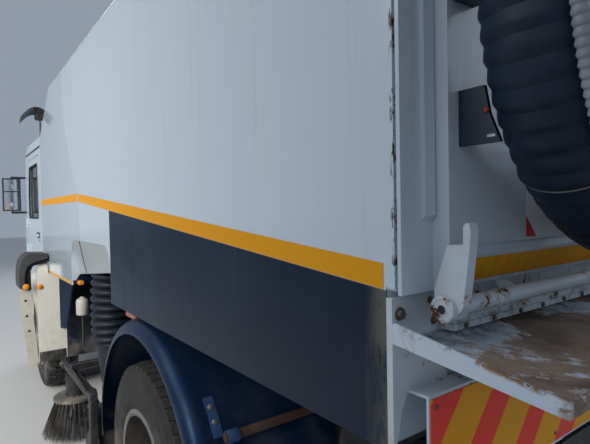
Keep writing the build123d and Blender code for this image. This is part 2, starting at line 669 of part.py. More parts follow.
def make_hopper_shell():
    """Walls, raised floor, side skirts and roof, open at the rear and over the suction hoses."""
    wall = HOPPER_WALL
    front = BODY_X + HOPPER_FRONT + HOPPER_LEAN + 100.0
    envelope = roof_section(BODY_HALF_WIDTH, HOPPER_FLOOR_Z, SIDE_TOP_Z, ROOF_CROWN, ROOF_ROUND,
                            BODY_X, front)
    outer = hopper_profile() & envelope
    room = roof_section(BODY_HALF_WIDTH - wall, LOAD_FLOOR_Z, SIDE_TOP_Z - wall, ROOF_CROWN,
                        ROOF_ROUND, BODY_X - 10.0, front)
    inner = (Pos(-wall, 0, 0) * hopper_profile()) & room
    inner = inner + (Pos(-wall - 40.0, 0, 0) * hopper_profile() & room)
    recess_wall_x = BODY_X + RECESS_REAR - wall
    under = block(BODY_X + wall, recess_wall_x, wall - BODY_HALF_WIDTH, BODY_HALF_WIDTH - wall,
                  HOPPER_FLOOR_Z - 1.0, LOAD_FLOOR_Z - wall)
    under = under + block(recess_wall_x - 1.0, front, -RECESS_INNER_Y + wall, RECESS_INNER_Y - wall,
                          HOPPER_FLOOR_Z - 1.0, LOAD_FLOOR_Z - wall)
    for one in both(recess(wall, RECESS_INNER_Y, BODY_HALF_WIDTH + 1.0)):
        inner = inner - one
    for one in both(recess(0.0, RECESS_INNER_Y, BODY_HALF_WIDTH + 1.0)):
        outer = outer - one
    shell = outer - inner - under
    for side in (1, -1):
        port = rod_z(HOSE_X, side * HOSE_Y, RECESS_TOP_Z - 5.0, RECESS_TOP_Z + wall + 5.0,
                     HOSE_RADIUS - 25.0)
        shell = shell - port
    flange = roof_section(BODY_HALF_WIDTH, FLANGE_LOW_Z, SIDE_TOP_Z, ROOF_CROWN, ROOF_ROUND,
                          BODY_X - DOOR_SEAM, BODY_X + 1.0)
    low_edges = flange.edges().filter_by(Axis.X).group_by(Axis.Z)[0]
    flange = fillet(low_edges, FLANGE_WIDTH / 4)
    inner_y = BODY_HALF_WIDTH - FLANGE_WIDTH
    mouth = block(BODY_X - DOOR_SEAM - 1.0, BODY_X + 2.0, -inner_y, inner_y,
                  LOAD_FLOOR_Z, SIDE_TOP_Z - FLANGE_WIDTH)
    shell = shell + (flange - mouth)
    for y in DOOR_HINGE_Y:
        for shift in (-1, 1):
            mid = y + shift * HINGE_PAIR / 2
            ear = side_plate([
                (BODY_X - DOOR_SEAM + 1.0, DOOR_HINGE_Z - 30.0), (DOOR_HINGE_X - 18.0, DOOR_HINGE_Z - 18.0),
                (DOOR_HINGE_X - 18.0, DOOR_HINGE_Z + 18.0), (BODY_X - DOOR_SEAM + 1.0, DOOR_HINGE_Z + 28.0),
            ], mid - 6.0, mid + 6.0)
            shell = shell + ear
    shell = shell - rod_y(DOOR_HINGE_X, -1000.0, 1000.0, DOOR_HINGE_Z, DOOR_PIN + BORE_CLEARANCE)
    save("hopper_shell", shell)


REAR_PLATE = 16.0
BEAM_LOW_Z = 1150.0
BEAM_TOP_Z = 1411.0
BEAM_REAR = 67.0
BEAM_SKIN = 6.0
BEAM_INSET = 50.0
TRAY_LENGTH = 362.0
TRAY_SKIN = 5.0
TRAY_FRONT_Z = 1563.0
TRAY_FRONT_LOW_Z = 1519.0
TRAY_REAR_Z = 1505.0
TRAY_REAR_LOW_Z = 1479.0
SILL_BAR_REAR = 52.0
SILL_BAR_Y = 1041.0


def make_hopper_rear():
    """Rear frame: side plates, open cross beam with its boards, sill bars and the rusty tray."""
    half = BODY_HALF_WIDTH
    front = BODY_X - GAP
    rear = front - REAR_PLATE
    beam_end = half - BEAM_INSET
    outline = [
        (half, FLANGE_LOW_Z - 12.0), (half, HOPPER_FLOOR_Z - 25.0), (half - 5.0, HOPPER_FLOOR_Z - 25.0),
        (half - 11.0, 1306.0), (half - 28.0, 1369.0), (half - 44.0, BEAM_TOP_Z - BEAM_SKIN),
        (half - 185.0, BEAM_TOP_Z - BEAM_SKIN), (half - 158.0, 1499.0), (half - 158.0, FLANGE_LOW_Z - 12.0),
    ]
    plate = cross_plate(outline, rear, front)
    beam_rear = BODY_X - BEAM_REAR
    skin = BEAM_SKIN
    beam = block(beam_rear, rear + 1.0, -beam_end, beam_end, BEAM_TOP_Z - skin, BEAM_TOP_Z)
    beam = beam + block(beam_rear, beam_rear + skin, -beam_end, beam_end, BEAM_LOW_Z, BEAM_TOP_Z)
    beam = beam + block(beam_rear, rear, -beam_end, beam_end, BEAM_LOW_Z, BEAM_LOW_Z + skin)
    for y in (-600.0, 0.0, 600.0):
        beam = beam + block(beam_rear + 1.0, front, y - 3.0, y + 3.0, BEAM_LOW_Z + 1.0, BEAM_TOP_Z - 1.0)
    frame = beam
    for one in both(plate):
        frame = frame + one
    bar_rear = BODY_X - SILL_BAR_REAR
    bar_z = TRAY_FRONT_LOW_Z
    low_bar = block(bar_rear, front, -SILL_BAR_Y, SILL_BAR_Y, bar_z + 6.0, bar_z + 20.0)
    top_bar = block(bar_rear, front, -SILL_BAR_Y, SILL_BAR_Y, bar_z + 23.0, bar_z + 38.0)
    spine = block(bar_rear + 4.0, front, 4.0 - SILL_BAR_Y, SILL_BAR_Y - 4.0, TRAY_FRONT_LOW_Z + 8.0,
                  TRAY_FRONT_LOW_Z + 36.0)
    save("hopper_rear_frame", frame, low_bar + top_bar + spine)
    board_x = beam_rear - GAP
    board = block(board_x - 3.0, board_x, 60.0, beam_end - 5.0, BEAM_LOW_Z + 8.0, BEAM_TOP_Z - 8.0)
    save("marker_boards", both(board))

    tray_front = rear - GAP
    tray_rear = BODY_X - TRAY_LENGTH
    skin = TRAY_SKIN
    sheet = side_plate([
        (tray_front, TRAY_FRONT_LOW_Z), (tray_front, TRAY_FRONT_LOW_Z + skin),
        (tray_rear, TRAY_REAR_LOW_Z + skin), (tray_rear, TRAY_REAR_LOW_Z),
    ], -half, half)
    lip = side_plate([
        (tray_rear, TRAY_REAR_LOW_Z), (tray_rear, TRAY_REAR_Z), (tray_rear + skin, TRAY_REAR_Z),
        (tray_rear + skin, TRAY_REAR_LOW_Z + 1.0),
    ], -half, half)
    tray = sheet + lip
    cheek = [
        (tray_front, TRAY_FRONT_LOW_Z), (tray_front, TRAY_FRONT_Z - 4.0), (tray_front - 5.0, TRAY_FRONT_Z),
        (tray_rear, TRAY_REAR_Z), (tray_rear, TRAY_REAR_LOW_Z),
    ]
    for y in (-half, half - skin):
        tray = tray + side_plate(cheek, y, y + skin)
    save("rear_tray", tray)


SILL_LOW_Z = 1100.0
SILL_WIDTH = 90.0
SILL_Y = 270.0
CYLINDER_EAR = 14.0


def make_tipping_frame():
    """Sills under the hopper floor with the tipping pin's ears and the cylinders' ears."""
    low = SILL_LOW_Z
    top = LOAD_FLOOR_Z - HOPPER_WALL - GAP
    front = BODY_X + HOPPER_FRONT - 150.0
    rear = BODY_X + HOPPER_WALL + 60.0
    sill = block(rear, front, SILL_Y, SILL_Y + SILL_WIDTH, low, top)
    sill = sill - block(rear - 1.0, front + 1.0, SILL_Y - 1.0, SILL_Y + SILL_WIDTH - 10.0,
                        low + 10.0, top - 10.0)
    ear = side_plate([
        (PIVOT_X - 48.0, PIVOT_Z - 30.0), (PIVOT_X - 20.0, PIVOT_Z - 48.0),
        (PIVOT_X + 30.0, PIVOT_Z - 48.0),
        (PIVOT_X + 50.0, PIVOT_Z - 10.0), (PIVOT_X + 180.0, low + 60.0), (PIVOT_X - 48.0, low + 60.0),
    ], HINGE_Y - 30.0, HINGE_Y - 6.0)
    whole = rod_y(PIVOT_X, -HINGE_Y - HINGE_EAR - 12.0, HINGE_Y + HINGE_EAR + 12.0, PIVOT_Z, PIVOT_RADIUS)
    for one in both(sill) + both(ear):
        whole = whole + one
    for x in (rear + 200.0, BODY_X + 1400.0, front - 80.0):
        whole = whole + block(x, x + 60.0, -SILL_Y - 80.0, SILL_Y + 80.0, top - 80.0, top)
    eye_x = CYLINDER_EYE_X
    eye_z = CYLINDER_EYE_Z
    for side in (1, -1):
        y = side * CYLINDER_Y
        y0, y1 = sorted((side * (CYLINDER_Y - 60.0), side * (SILL_Y + SILL_WIDTH - 9.0)))
        whole = whole + block(eye_x - 60.0, eye_x + 60.0, y0, y1, top - 140.0, top - 110.0)
        for y0 in (y - 28.0 - CYLINDER_EAR, y + 28.0):
            lug = side_plate([
                (eye_x - 34.0, eye_z - 30.0), (eye_x + 34.0, eye_z - 30.0), (eye_x + 50.0, top - 130.0),
                (eye_x - 50.0, top - 130.0),
            ], y0, y0 + CYLINDER_EAR)
            whole = whole + lug
    save("tipping_frame", whole)
    tank = block(BODY_X + 330.0, BODY_X + RECESS_REAR - 120.0, SILL_Y + SILL_WIDTH + 60.0,
                 BODY_HALF_WIDTH - HOPPER_WALL - GAP, HOPPER_FLOOR_Z + 15.0, LOAD_FLOOR_Z - HOPPER_WALL - GAP)
    save("water_tanks", both(tank))


CYLINDER_ROD = 28.0
EYE_HALF = 20.0


def make_cylinders():
    """Tipping cylinders: barrels on the chassis lugs and rods up to the hopper's ears."""
    run_x = CYLINDER_EYE_X - CYLINDER_FOOT_X
    run_z = CYLINDER_EYE_Z - CYLINDER_FOOT_Z
    length = hypot(run_x, run_z)
    ux = run_x / length
    uz = run_z / length

    def along(distance):
        return CYLINDER_FOOT_X + ux * distance, CYLINDER_FOOT_Z + uz * distance

    barrel_end = length - 95.0
    barrels = []
    rods = []
    for side in (1, -1):
        y = side * CYLINDER_Y
        x0, z0 = along(32.0)
        x1, z1 = along(barrel_end)
        barrel = rod_between((x0, y, z0), (x1, y, z1), CYLINDER_RADIUS)
        barrel = barrel + rod_y(CYLINDER_FOOT_X, y - CYLINDER_RADIUS, y + CYLINDER_RADIUS - 2.0,
                                CYLINDER_FOOT_Z, 36.0)
        barrel = barrel + rod_y(CYLINDER_FOOT_X, y - CYLINDER_RADIUS - 30.0, y + CYLINDER_RADIUS + 26.0,
                                CYLINDER_FOOT_Z, FOOT_PIN)
        x2, z2 = along(60.0)
        x3, z3 = along(barrel_end + 1.0)
        bore = rod_between((x2, y, z2), (x3, y, z3), CYLINDER_ROD + BORE_CLEARANCE)
        barrels.append(barrel - bore)
        x4, z4 = along(75.0)
        x5, z5 = along(length - 20.0)
        rod = rod_between((x4, y, z4), (x5, y, z5), CYLINDER_ROD)
        rod = rod + rod_y(CYLINDER_EYE_X, y - EYE_HALF, y + EYE_HALF, CYLINDER_EYE_Z, 34.0)
        rod = rod - rod_y(CYLINDER_EYE_X, y - 30.0, y + 30.0, CYLINDER_EYE_Z, FOOT_PIN)
        rods.append(rod)
    save("tip_cylinder_barrels", barrels)
    save("tip_cylinder_rods", rods)


# Rear door

POCKET_HALF = 52.0
DOOR_BOX_Y = BODY_HALF_WIDTH - DOOR_BOX_INSET
DOOR_FRONT = BODY_X - DOOR_SEAM - MOVING_GAP
DOOR_REAR = BODY_X - DOOR_BOX_REAR
DOOR_HEAD = 115.0
DOOR_RIB_Z = (2090.0, 2500.0)


def make_rear_door():
    """Top-hung door: a flat rim with its edge strips, the proud box, ribs inside and hinge pins."""
    high = SIDE_TOP_Z - 12.0
    low = DOOR_BOTTOM_Z
    step = DOOR_FRONT - DOOR_FLANGE
    half = BODY_HALF_WIDTH
    box_y = DOOR_BOX_Y
    skin = DOOR_SKIN
    rim_plate = block(step, DOOR_FRONT, -half, half, low, high)
    box = side_plate([
        (step + 1.0, high), (DOOR_REAR + 10.0, high), (DOOR_REAR, high - 20.0),
        (DOOR_REAR, DOOR_LIP_Z + 5.0), (DOOR_REAR + 7.0, DOOR_LIP_Z),
        (DOOR_REAR + 5.0, DOOR_LIP_Z - 5.0), (DOOR_REAR + 3.0, DOOR_LIP_Z - 21.0),
        (DOOR_REAR + 36.0, low + 7.0), (DOOR_REAR + 40.0, low), (step + 1.0, low),
    ], -box_y, box_y)
    room = side_plate([
        (DOOR_FRONT + 1.0, high - DOOR_HEAD), (DOOR_REAR + skin, high - DOOR_HEAD),
        (DOOR_REAR + skin, DOOR_LIP_Z + 15.0), (DOOR_FRONT + 1.0, DOOR_LIP_Z + 15.0),
    ], skin - box_y, box_y - skin)
    whole = rim_plate + box - room
    for z in DOOR_RIB_Z:
        whole = whole + block(DOOR_REAR + skin - 1.0, DOOR_FRONT, 2.0 - box_y, box_y - 2.0, z, z + 10.0)
    for side in (1, -1):
        y0, y1 = sorted((side * (box_y + 4.0), side * (box_y + 37.0)))
        strip = side_plate([
            (step + 1.0, high - 30.0), (step - 12.0, high - 42.0), (step - 12.0, DOOR_LIP_Z + 67.0),
            (step + 1.0, DOOR_LIP_Z + 55.0),
        ], y0, y1)
        whole = whole + strip
    for y in DOOR_HINGE_Y:
        whole = whole - block(DOOR_REAR - 1.0, DOOR_FRONT + 1.0, y - POCKET_HALF, y + POCKET_HALF,
                              DOOR_HINGE_Z - 55.0, high + 1.0)
        pin_half = POCKET_HALF + 2.0
        whole = whole + rod_y(DOOR_HINGE_X, y - pin_half, y + pin_half, DOOR_HINGE_Z, DOOR_PIN)
    save("rear_door", whole)


# Latch shaft that rides below the door

LATCH_X = BODY_X - 95.0
LATCH_Z = 1594.0
LATCH_RADIUS = 18.5
LATCH_BOSS = 28.0
LATCH_EYE = 9.25
CLAW_INNER_Y = DOOR_BOX_Y + 4.0
CLAW_OUTER_Y = DOOR_BOX_Y + 30.0
BOSS_END_Y = DOOR_BOX_Y + 40.0
HANGER_Y = (-850.0, -300.0, 300.0, 850.0)


def make_latch():
    """Torsion shaft below the door on its hangers, the bored bosses and the broad claws."""
    x = LATCH_X
    z = LATCH_Z
    shaft = rod_y(x, -BOSS_END_Y, BOSS_END_Y, z, LATCH_RADIUS)
    claw = side_plate([
        (x - 6.0, z + 129.0), (x - 42.0, z + 132.0), (x - 43.0, z + 168.0), (x - 49.0, z + 174.0),
        (x - 56.0, z + 173.0), (x - 59.0, z + 158.0), (x - 57.0, z + 132.0), (x - 53.0, z + 101.0),
        (x - 41.0, z + 9.0), (x - 34.0, z - 2.0), (x - 12.0, z - 26.0), (x + 14.0, z - 22.0),
        (x + 26.0, z + 8.0), (x + 26.0, z + 39.0),
    ], CLAW_INNER_Y, CLAW_OUTER_Y)
    boss = rod_y(x, CLAW_INNER_Y - 12.0, BOSS_END_Y, z, LATCH_BOSS)
    for one in both(claw) + both(boss):
        shaft = shaft + one
    for y in HANGER_Y:
        hanger = side_plate([
            (BODY_X - 60.0, DOOR_BOTTOM_Z - GAP), (BODY_X - 36.0, DOOR_BOTTOM_Z - GAP),
            (BODY_X - 62.0, z - 8.0), (x - 4.0, z - 12.0), (x - 4.0, z + 12.0),
        ], y - 6.0, y + 6.0)
        shaft = shaft + hanger
    for side in (1, -1):
        y0, y1 = sorted((side * (BOSS_END_Y + 1.0), side * (BOSS_END_Y - 24.0)))
        shaft = shaft - rod_y(x, y0, y1, z, LATCH_EYE)
    save("latch_shaft", shaft)


# Wander hose stowed on the door

WANDER_RADIUS = 115.0
STRAP_SKIN = 10.0
HOSE_OFF_X = BODY_X - REAR_REACH + WANDER_RADIUS + STRAP_SKIN
WANDER_OUT_Y = BODY_HALF_WIDTH - 141.0
WANDER_BEND = 440.0
WANDER_IN_Y = WANDER_OUT_Y - 2 * WANDER_BEND
WANDER_PORT_Y = DOOR_BOX_Y - 140.0
WANDER_BEND_Z = 2220.0
WANDER_STRAIGHT = 50.0
WANDER_TOP_Z = SIDE_TOP_Z - 215.0
WANDER_LEG = 195.0
WANDER_WAND = 150.0
ELBOW_RADIUS = 150.0
STRAP_HALF = 20.0


def make_wander_hose():
    """Hose from its port on the door down, round one U-bend and up to its hand nozzle."""
    x = HOSE_OFF_X
    start_x = DOOR_REAR - GAP
    port_y = WANDER_PORT_Y
    out_y = WANDER_OUT_Y
    in_y = WANDER_IN_Y
    top = WANDER_TOP_Z
    turn = ELBOW_RADIUS
    near = turn * (1 - 0.5 ** 0.5)
    low = WANDER_BEND_Z + WANDER_STRAIGHT
    pull = 0.45 * (top - turn - low)
    route = [
        Line((start_x, port_y, top), (x + turn, port_y, top)) if start_x > x + turn + 1.0 else None,
        ThreePointArc((x + turn, port_y, top), (x + near, port_y, top - near), (x, port_y, top - turn)),
        Bezier((x, port_y, top - turn), (x, port_y, top - turn - pull),
               (x, out_y, low + pull), (x, out_y, low)),
        Line((x, out_y, low), (x, out_y, WANDER_BEND_Z)),
        ThreePointArc((x, out_y, WANDER_BEND_Z), (x, (out_y + in_y) / 2, WANDER_BEND_Z - WANDER_BEND),
                      (x, in_y, WANDER_BEND_Z)),
        Line((x, in_y, WANDER_BEND_Z), (x, in_y, WANDER_BEND_Z + WANDER_LEG)),
    ]
    path = Wire([one for one in route if one is not None])
    section = Plane(origin=path @ 0, z_dir=path % 0) * Circle(WANDER_RADIUS)
    save("wander_hose", sweep(section, path=path))
    leg_top = WANDER_BEND_Z + WANDER_LEG + GAP
    wand = rod_z(x, in_y, leg_top, leg_top + WANDER_WAND, WANDER_RADIUS - 15.0)
    plate_y = out_y + 1.0
    low_z = WANDER_BEND_Z - 295.0
    plate = side_plate([
        (start_x, low_z), (start_x, low_z + 116.0), (x + 116.0, low_z + 116.0), (x + 105.0, low_z + 58.0),
        (x + 82.0, low_z),
    ], plate_y - 5.0, plate_y + 5.0)
    pieces = [wand, plate]
    for y, z in ((out_y, WANDER_BEND_Z + WANDER_STRAIGHT / 2), (in_y, WANDER_BEND_Z + WANDER_LEG - 60.0)):
        arm_y = y if y < DOOR_BOX_Y - 50.0 else DOOR_BOX_Y - 50.0
        strap = block(x + WANDER_RADIUS - 20.0, start_x, arm_y - 40.0, arm_y + 40.0,
                      z - STRAP_HALF, z + STRAP_HALF)
        strap = strap + rod_z(x, y, z - STRAP_HALF, z + STRAP_HALF, WANDER_RADIUS + STRAP_SKIN)
        pieces.append(strap - rod_z(x, y, z - STRAP_HALF - 1.0, z + STRAP_HALF + 1.0, WANDER_RADIUS + GAP))
    save("hose_brackets", pieces)


# Canopy

def make_canopy():
    """Housing of the auxiliary engine and fan, closed, with a sloping nose."""
    edges, foot, top = front_edge(SLIT)
    nose = BODY_X + CANOPY_FRONT
    front_x = BODY_X + RECESS_FRONT
    slope = BODY_X + CANOPY_SLOPE_X
    z0 = CANOPY_BOTTOM_Z
    loop = edges + [
        Line(top, (slope, 0, top[2])), Line((slope, 0, top[2]), (nose, 0, CANOPY_NOSE_Z)),
        Line((nose, 0, CANOPY_NOSE_Z), (nose, 0, z0)), Line((nose, 0, z0), (foot[0], 0, z0)),
        Line((foot[0], 0, z0), foot),
    ]
    half = BODY_HALF_WIDTH
    solid = Pos(0, -half, 0) * extrude(make_face(Wire(loop)), amount=2 * half, dir=(0, 1, 0))
    solid = solid & roof_section(half, z0, SIDE_TOP_Z, ROOF_CROWN, ROOF_ROUND, BODY_X + 2000.0, nose + 10.0)
    for one in both(recess(0.0, RECESS_INNER_Y, half + 1.0)):
        solid = solid - one
    save("engine_canopy", solid)


# Cab

NOSE_LOW_Z = CAB_NOSE_Z
NOSE_REAR_X = FRONT_X - 615.0
SCREEN_LOW_Z = 1640.0
SCREEN_TOP_Z = 2470.0
SCREEN_LEAN = 210.0
DOOR_REAR_X = FRONT_X - 1265.0
DOOR_FRONT_X = FRONT_X - 375.0
CAB_DOOR_LOW_Z = 1252.0
CAB_DOOR_TOP_Z = 2440.0
DOOR_SLIT = 7.0
GLASS = 6.0
SIDE_WINDOW_LOW_Z = 1760.0
PILLAR = 95.0


def cab_profile(shrink):
    """Side outline of the cab, moved inward all round by shrink."""
    s = shrink
    rear = CAB_REAR_X + s
    front = CAB_FRONT_X - s
    roof = CAB_ROOF_Z - s
    points = [
        (rear, CAB_FLOOR_Z + s), (NOSE_REAR_X + s, CAB_FLOOR_Z + s), (NOSE_REAR_X + s, NOSE_LOW_Z + s),
        (front - 30.0, NOSE_LOW_Z + s), (front, NOSE_LOW_Z + s + 120.0), (front, SCREEN_LOW_Z - 60.0),
        (front - SCREEN_LEAN, SCREEN_TOP_Z), (front - SCREEN_LEAN - 90.0, roof - 30.0),
        (front - SCREEN_LEAN - 260.0, roof), (rear + 60.0, roof), (rear, roof - 60.0),
    ]
    half = CAB_HALF_WIDTH - s
    return side_plate(points, -half, half)


def side_opening(x0, x1, z0, z1, lean, y0, y1):
    """A cut through the cab's side; its front edge leans back with the screen by lean."""
    return side_plate([(x0, z0), (x1, z0), (x1, (z0 + z1) / 2), (x1 - lean, z1), (x0, z1)], y0, y1)


def screen_slab(y0, y1, low, high, depth0, depth1):
    """A slab parallel to the windscreen between two depths behind its outer plane."""
    z0 = SCREEN_LOW_Z - 60.0
    run = SCREEN_TOP_Z - z0

    def at(z, depth):
        return (CAB_FRONT_X - depth - SCREEN_LEAN * (z - z0) / run, z)

    return side_plate([at(low, depth0), at(high, depth0), at(high, depth1), at(low, depth1)], y0, y1)


DOOR_LEAN = 150.0
SCREEN_HALF = 1010.0
REAR_WINDOW_HALF = 420.0
HINGE_PIN_X = DOOR_FRONT_X + 14.0
HINGE_PIN_Y = CAB_HALF_WIDTH + 14.0
HINGE_PIN_RADIUS = 6.0
DOOR_HINGE_HEIGHTS = (1400.0, 1700.0)


def make_cab():
    """Hollow cab with its door and window openings cut."""
    s = CAB_WALL
    half = CAB_HALF_WIDTH
    cab = cab_profile(0.0)
    cab = cab - cab_profile(s)
    for side in (1, -1):
        y0, y1 = sorted((side * (half - s - 1.0), side * (half + 1.0)))
        cab = cab - side_opening(DOOR_REAR_X, DOOR_FRONT_X, CAB_DOOR_LOW_Z, CAB_DOOR_TOP_Z, DOOR_LEAN,
                                 y0, y1)
    low = SCREEN_LOW_Z
    high = SCREEN_TOP_Z - 70.0
    cab = cab - screen_slab(-SCREEN_HALF, SCREEN_HALF, low, high, -30.0, s + 40.0)
    for side in (1, -1):
        for z in DOOR_HINGE_HEIGHTS:
            y0, y1 = sorted((side * (half - 1.0), side * HINGE_PIN_Y))
            for z0 in (z - 50.0, z + 17.0):
                cab = cab + block(HINGE_PIN_X - 11.0, HINGE_PIN_X + 11.0, y0, y1, z0, z0 + 33.0)
                cab = cab + rod_z(HINGE_PIN_X, side * HINGE_PIN_Y, z0, z0 + 33.0, 11.0)
            cab = cab + rod_z(HINGE_PIN_X, side * HINGE_PIN_Y, z - 49.0, z + 49.0, HINGE_PIN_RADIUS)
    rear_cut = block(CAB_REAR_X - 1.0, CAB_REAR_X + s + 1.0, -REAR_WINDOW_HALF, REAR_WINDOW_HALF,
                     1850.0, 2300.0)
    cab = cab - rear_cut
    for side in (1, -1):
        y0, y1 = sorted((side * 330.0, side * 358.0))
        cab = cab + block(CAB_TILT_X - 28.0, CAB_TILT_X + 28.0, y0, y1, CAB_TILT_Z - 28.0, NOSE_LOW_Z + 4.0)
        y0, y1 = sorted((side * 331.0, side * 396.0))
        cab = cab + rod_y(CAB_TILT_X, y0, y1, CAB_TILT_Z, CAB_PIN)
    save("cab_shell", cab)
    screen = screen_slab(-SCREEN_HALF + GAP, SCREEN_HALF - GAP, low + GAP, high - GAP, 12.0, 12.0 + GLASS)
    rear_half = REAR_WINDOW_HALF - GAP
    rear = block(CAB_REAR_X + 20.0, CAB_REAR_X + 20.0 + GLASS, -rear_half, rear_half,
                 1850.0 + GAP, 2300.0 - GAP)
    save("cab_glass", screen, rear)


def make_cab_doors():
    """Each door fills its opening, as thick as the wall, with its window cut and glazed."""
    half = CAB_HALF_WIDTH
    s = DOOR_SLIT
    x0 = DOOR_REAR_X + s
    x1 = DOOR_FRONT_X - s
    z0 = CAB_DOOR_LOW_Z + s
    z1 = CAB_DOOR_TOP_Z - s
    door = side_opening(x0, x1, z0, z1, DOOR_LEAN, half - CAB_WALL, half)
    wx0 = x0 + PILLAR
    wx1 = x1 - PILLAR
    wz0 = SIDE_WINDOW_LOW_Z
    wz1 = z1 - 80.0
    cut = side_opening(wx0, wx1, wz0, wz1, DOOR_LEAN - 60.0, half - CAB_WALL - 1.0, half + 1.0)
    pane = side_opening(wx0 + GAP, wx1 - GAP, wz0 + GAP, wz1 - GAP, DOOR_LEAN - 60.0,
                        half - 22.0, half - 22.0 + GLASS)
    door = door - cut
    handle = block(x0 + 60.0, x0 + 220.0, half - 1.0, half + 24.0, 1560.0, 1590.0)
    door = door + handle
    for z in DOOR_HINGE_HEIGHTS:
        door = door + block(x1 - 90.0, x1 - 1.0, half - 1.0, half + 10.0, z - 16.0, z + 16.0)
        door = door + block(x1 - 10.0, HINGE_PIN_X, half + 3.0, half + 10.0, z - 16.0, z + 16.0)
        door = door + rod_z(HINGE_PIN_X, HINGE_PIN_Y, z - 16.0, z + 16.0, 11.0)
        door = door - rod_z(HINGE_PIN_X, HINGE_PIN_Y, z - 17.0, z + 17.0, HINGE_PIN_RADIUS + BORE_CLEARANCE)
    save("cab_door_left", door)
    save("cab_door_right", across(door))
    save("door_glass_left", pane)
    save("door_glass_right", across(pane))


def make_cab_inside():
    """Seats, dashboard and steering wheel seen through the glass."""
    floor = CAB_FLOOR_Z + CAB_WALL + GAP
    seats = []
    for y in (560.0, -560.0):
        x = CAB_REAR_X + 330.0
        base = block(x, x + 420.0, y - 200.0, y + 200.0, floor, floor + 260.0)
        cushion = block(x - 30.0, x + 470.0, y - 250.0, y + 250.0, floor + 260.0, floor + 390.0)
        back = side_plate([
            (x - 30.0, floor + 380.0), (x + 90.0, floor + 380.0),
            (x - 30.0, floor + 1010.0), (x - 130.0, floor + 1010.0),
        ], y - 240.0, y + 240.0)
        seats.append(base + cushion + back)
    save("seats", seats)
    front = CAB_FRONT_X - CAB_WALL - 30.0
    half = CAB_HALF_WIDTH - CAB_WALL - 15.0
    dash = side_plate([
        (NOSE_REAR_X + CAB_WALL + GAP, floor - 200.0), (front, floor - 200.0), (front, 1560.0),
        (front - 220.0, 1600.0), (front - 330.0, 1500.0), (front - 300.0, 1400.0),
        (NOSE_REAR_X + CAB_WALL + GAP, 1400.0),
    ], -half, half)
    wheel_place = Pos(front - 480.0, 560.0, 1640.0) * Rot(0, -35, 0)
    wheel = wheel_place * Torus(215.0, 14.0)
    wheel = wheel + wheel_place * Box(420.0, 40.0, 14.0)
    wheel = wheel + wheel_place * Cylinder(55.0, 40.0)
    column_end = (front - 480.0 + 215.0, 560.0, 1640.0 - 300.0)
    wheel = wheel + rod_between((front - 480.0, 560.0, 1640.0), column_end, 28.0)
    save("dashboard", dash + wheel)


STEP_LENGTH = 335.0
STEP_DEPTH = 260.0
STEP_LOW_Z = 430.0
STEP_RISE = 230.0
STEP_TREAD = 40.0
STEP_SKIN = 15.0


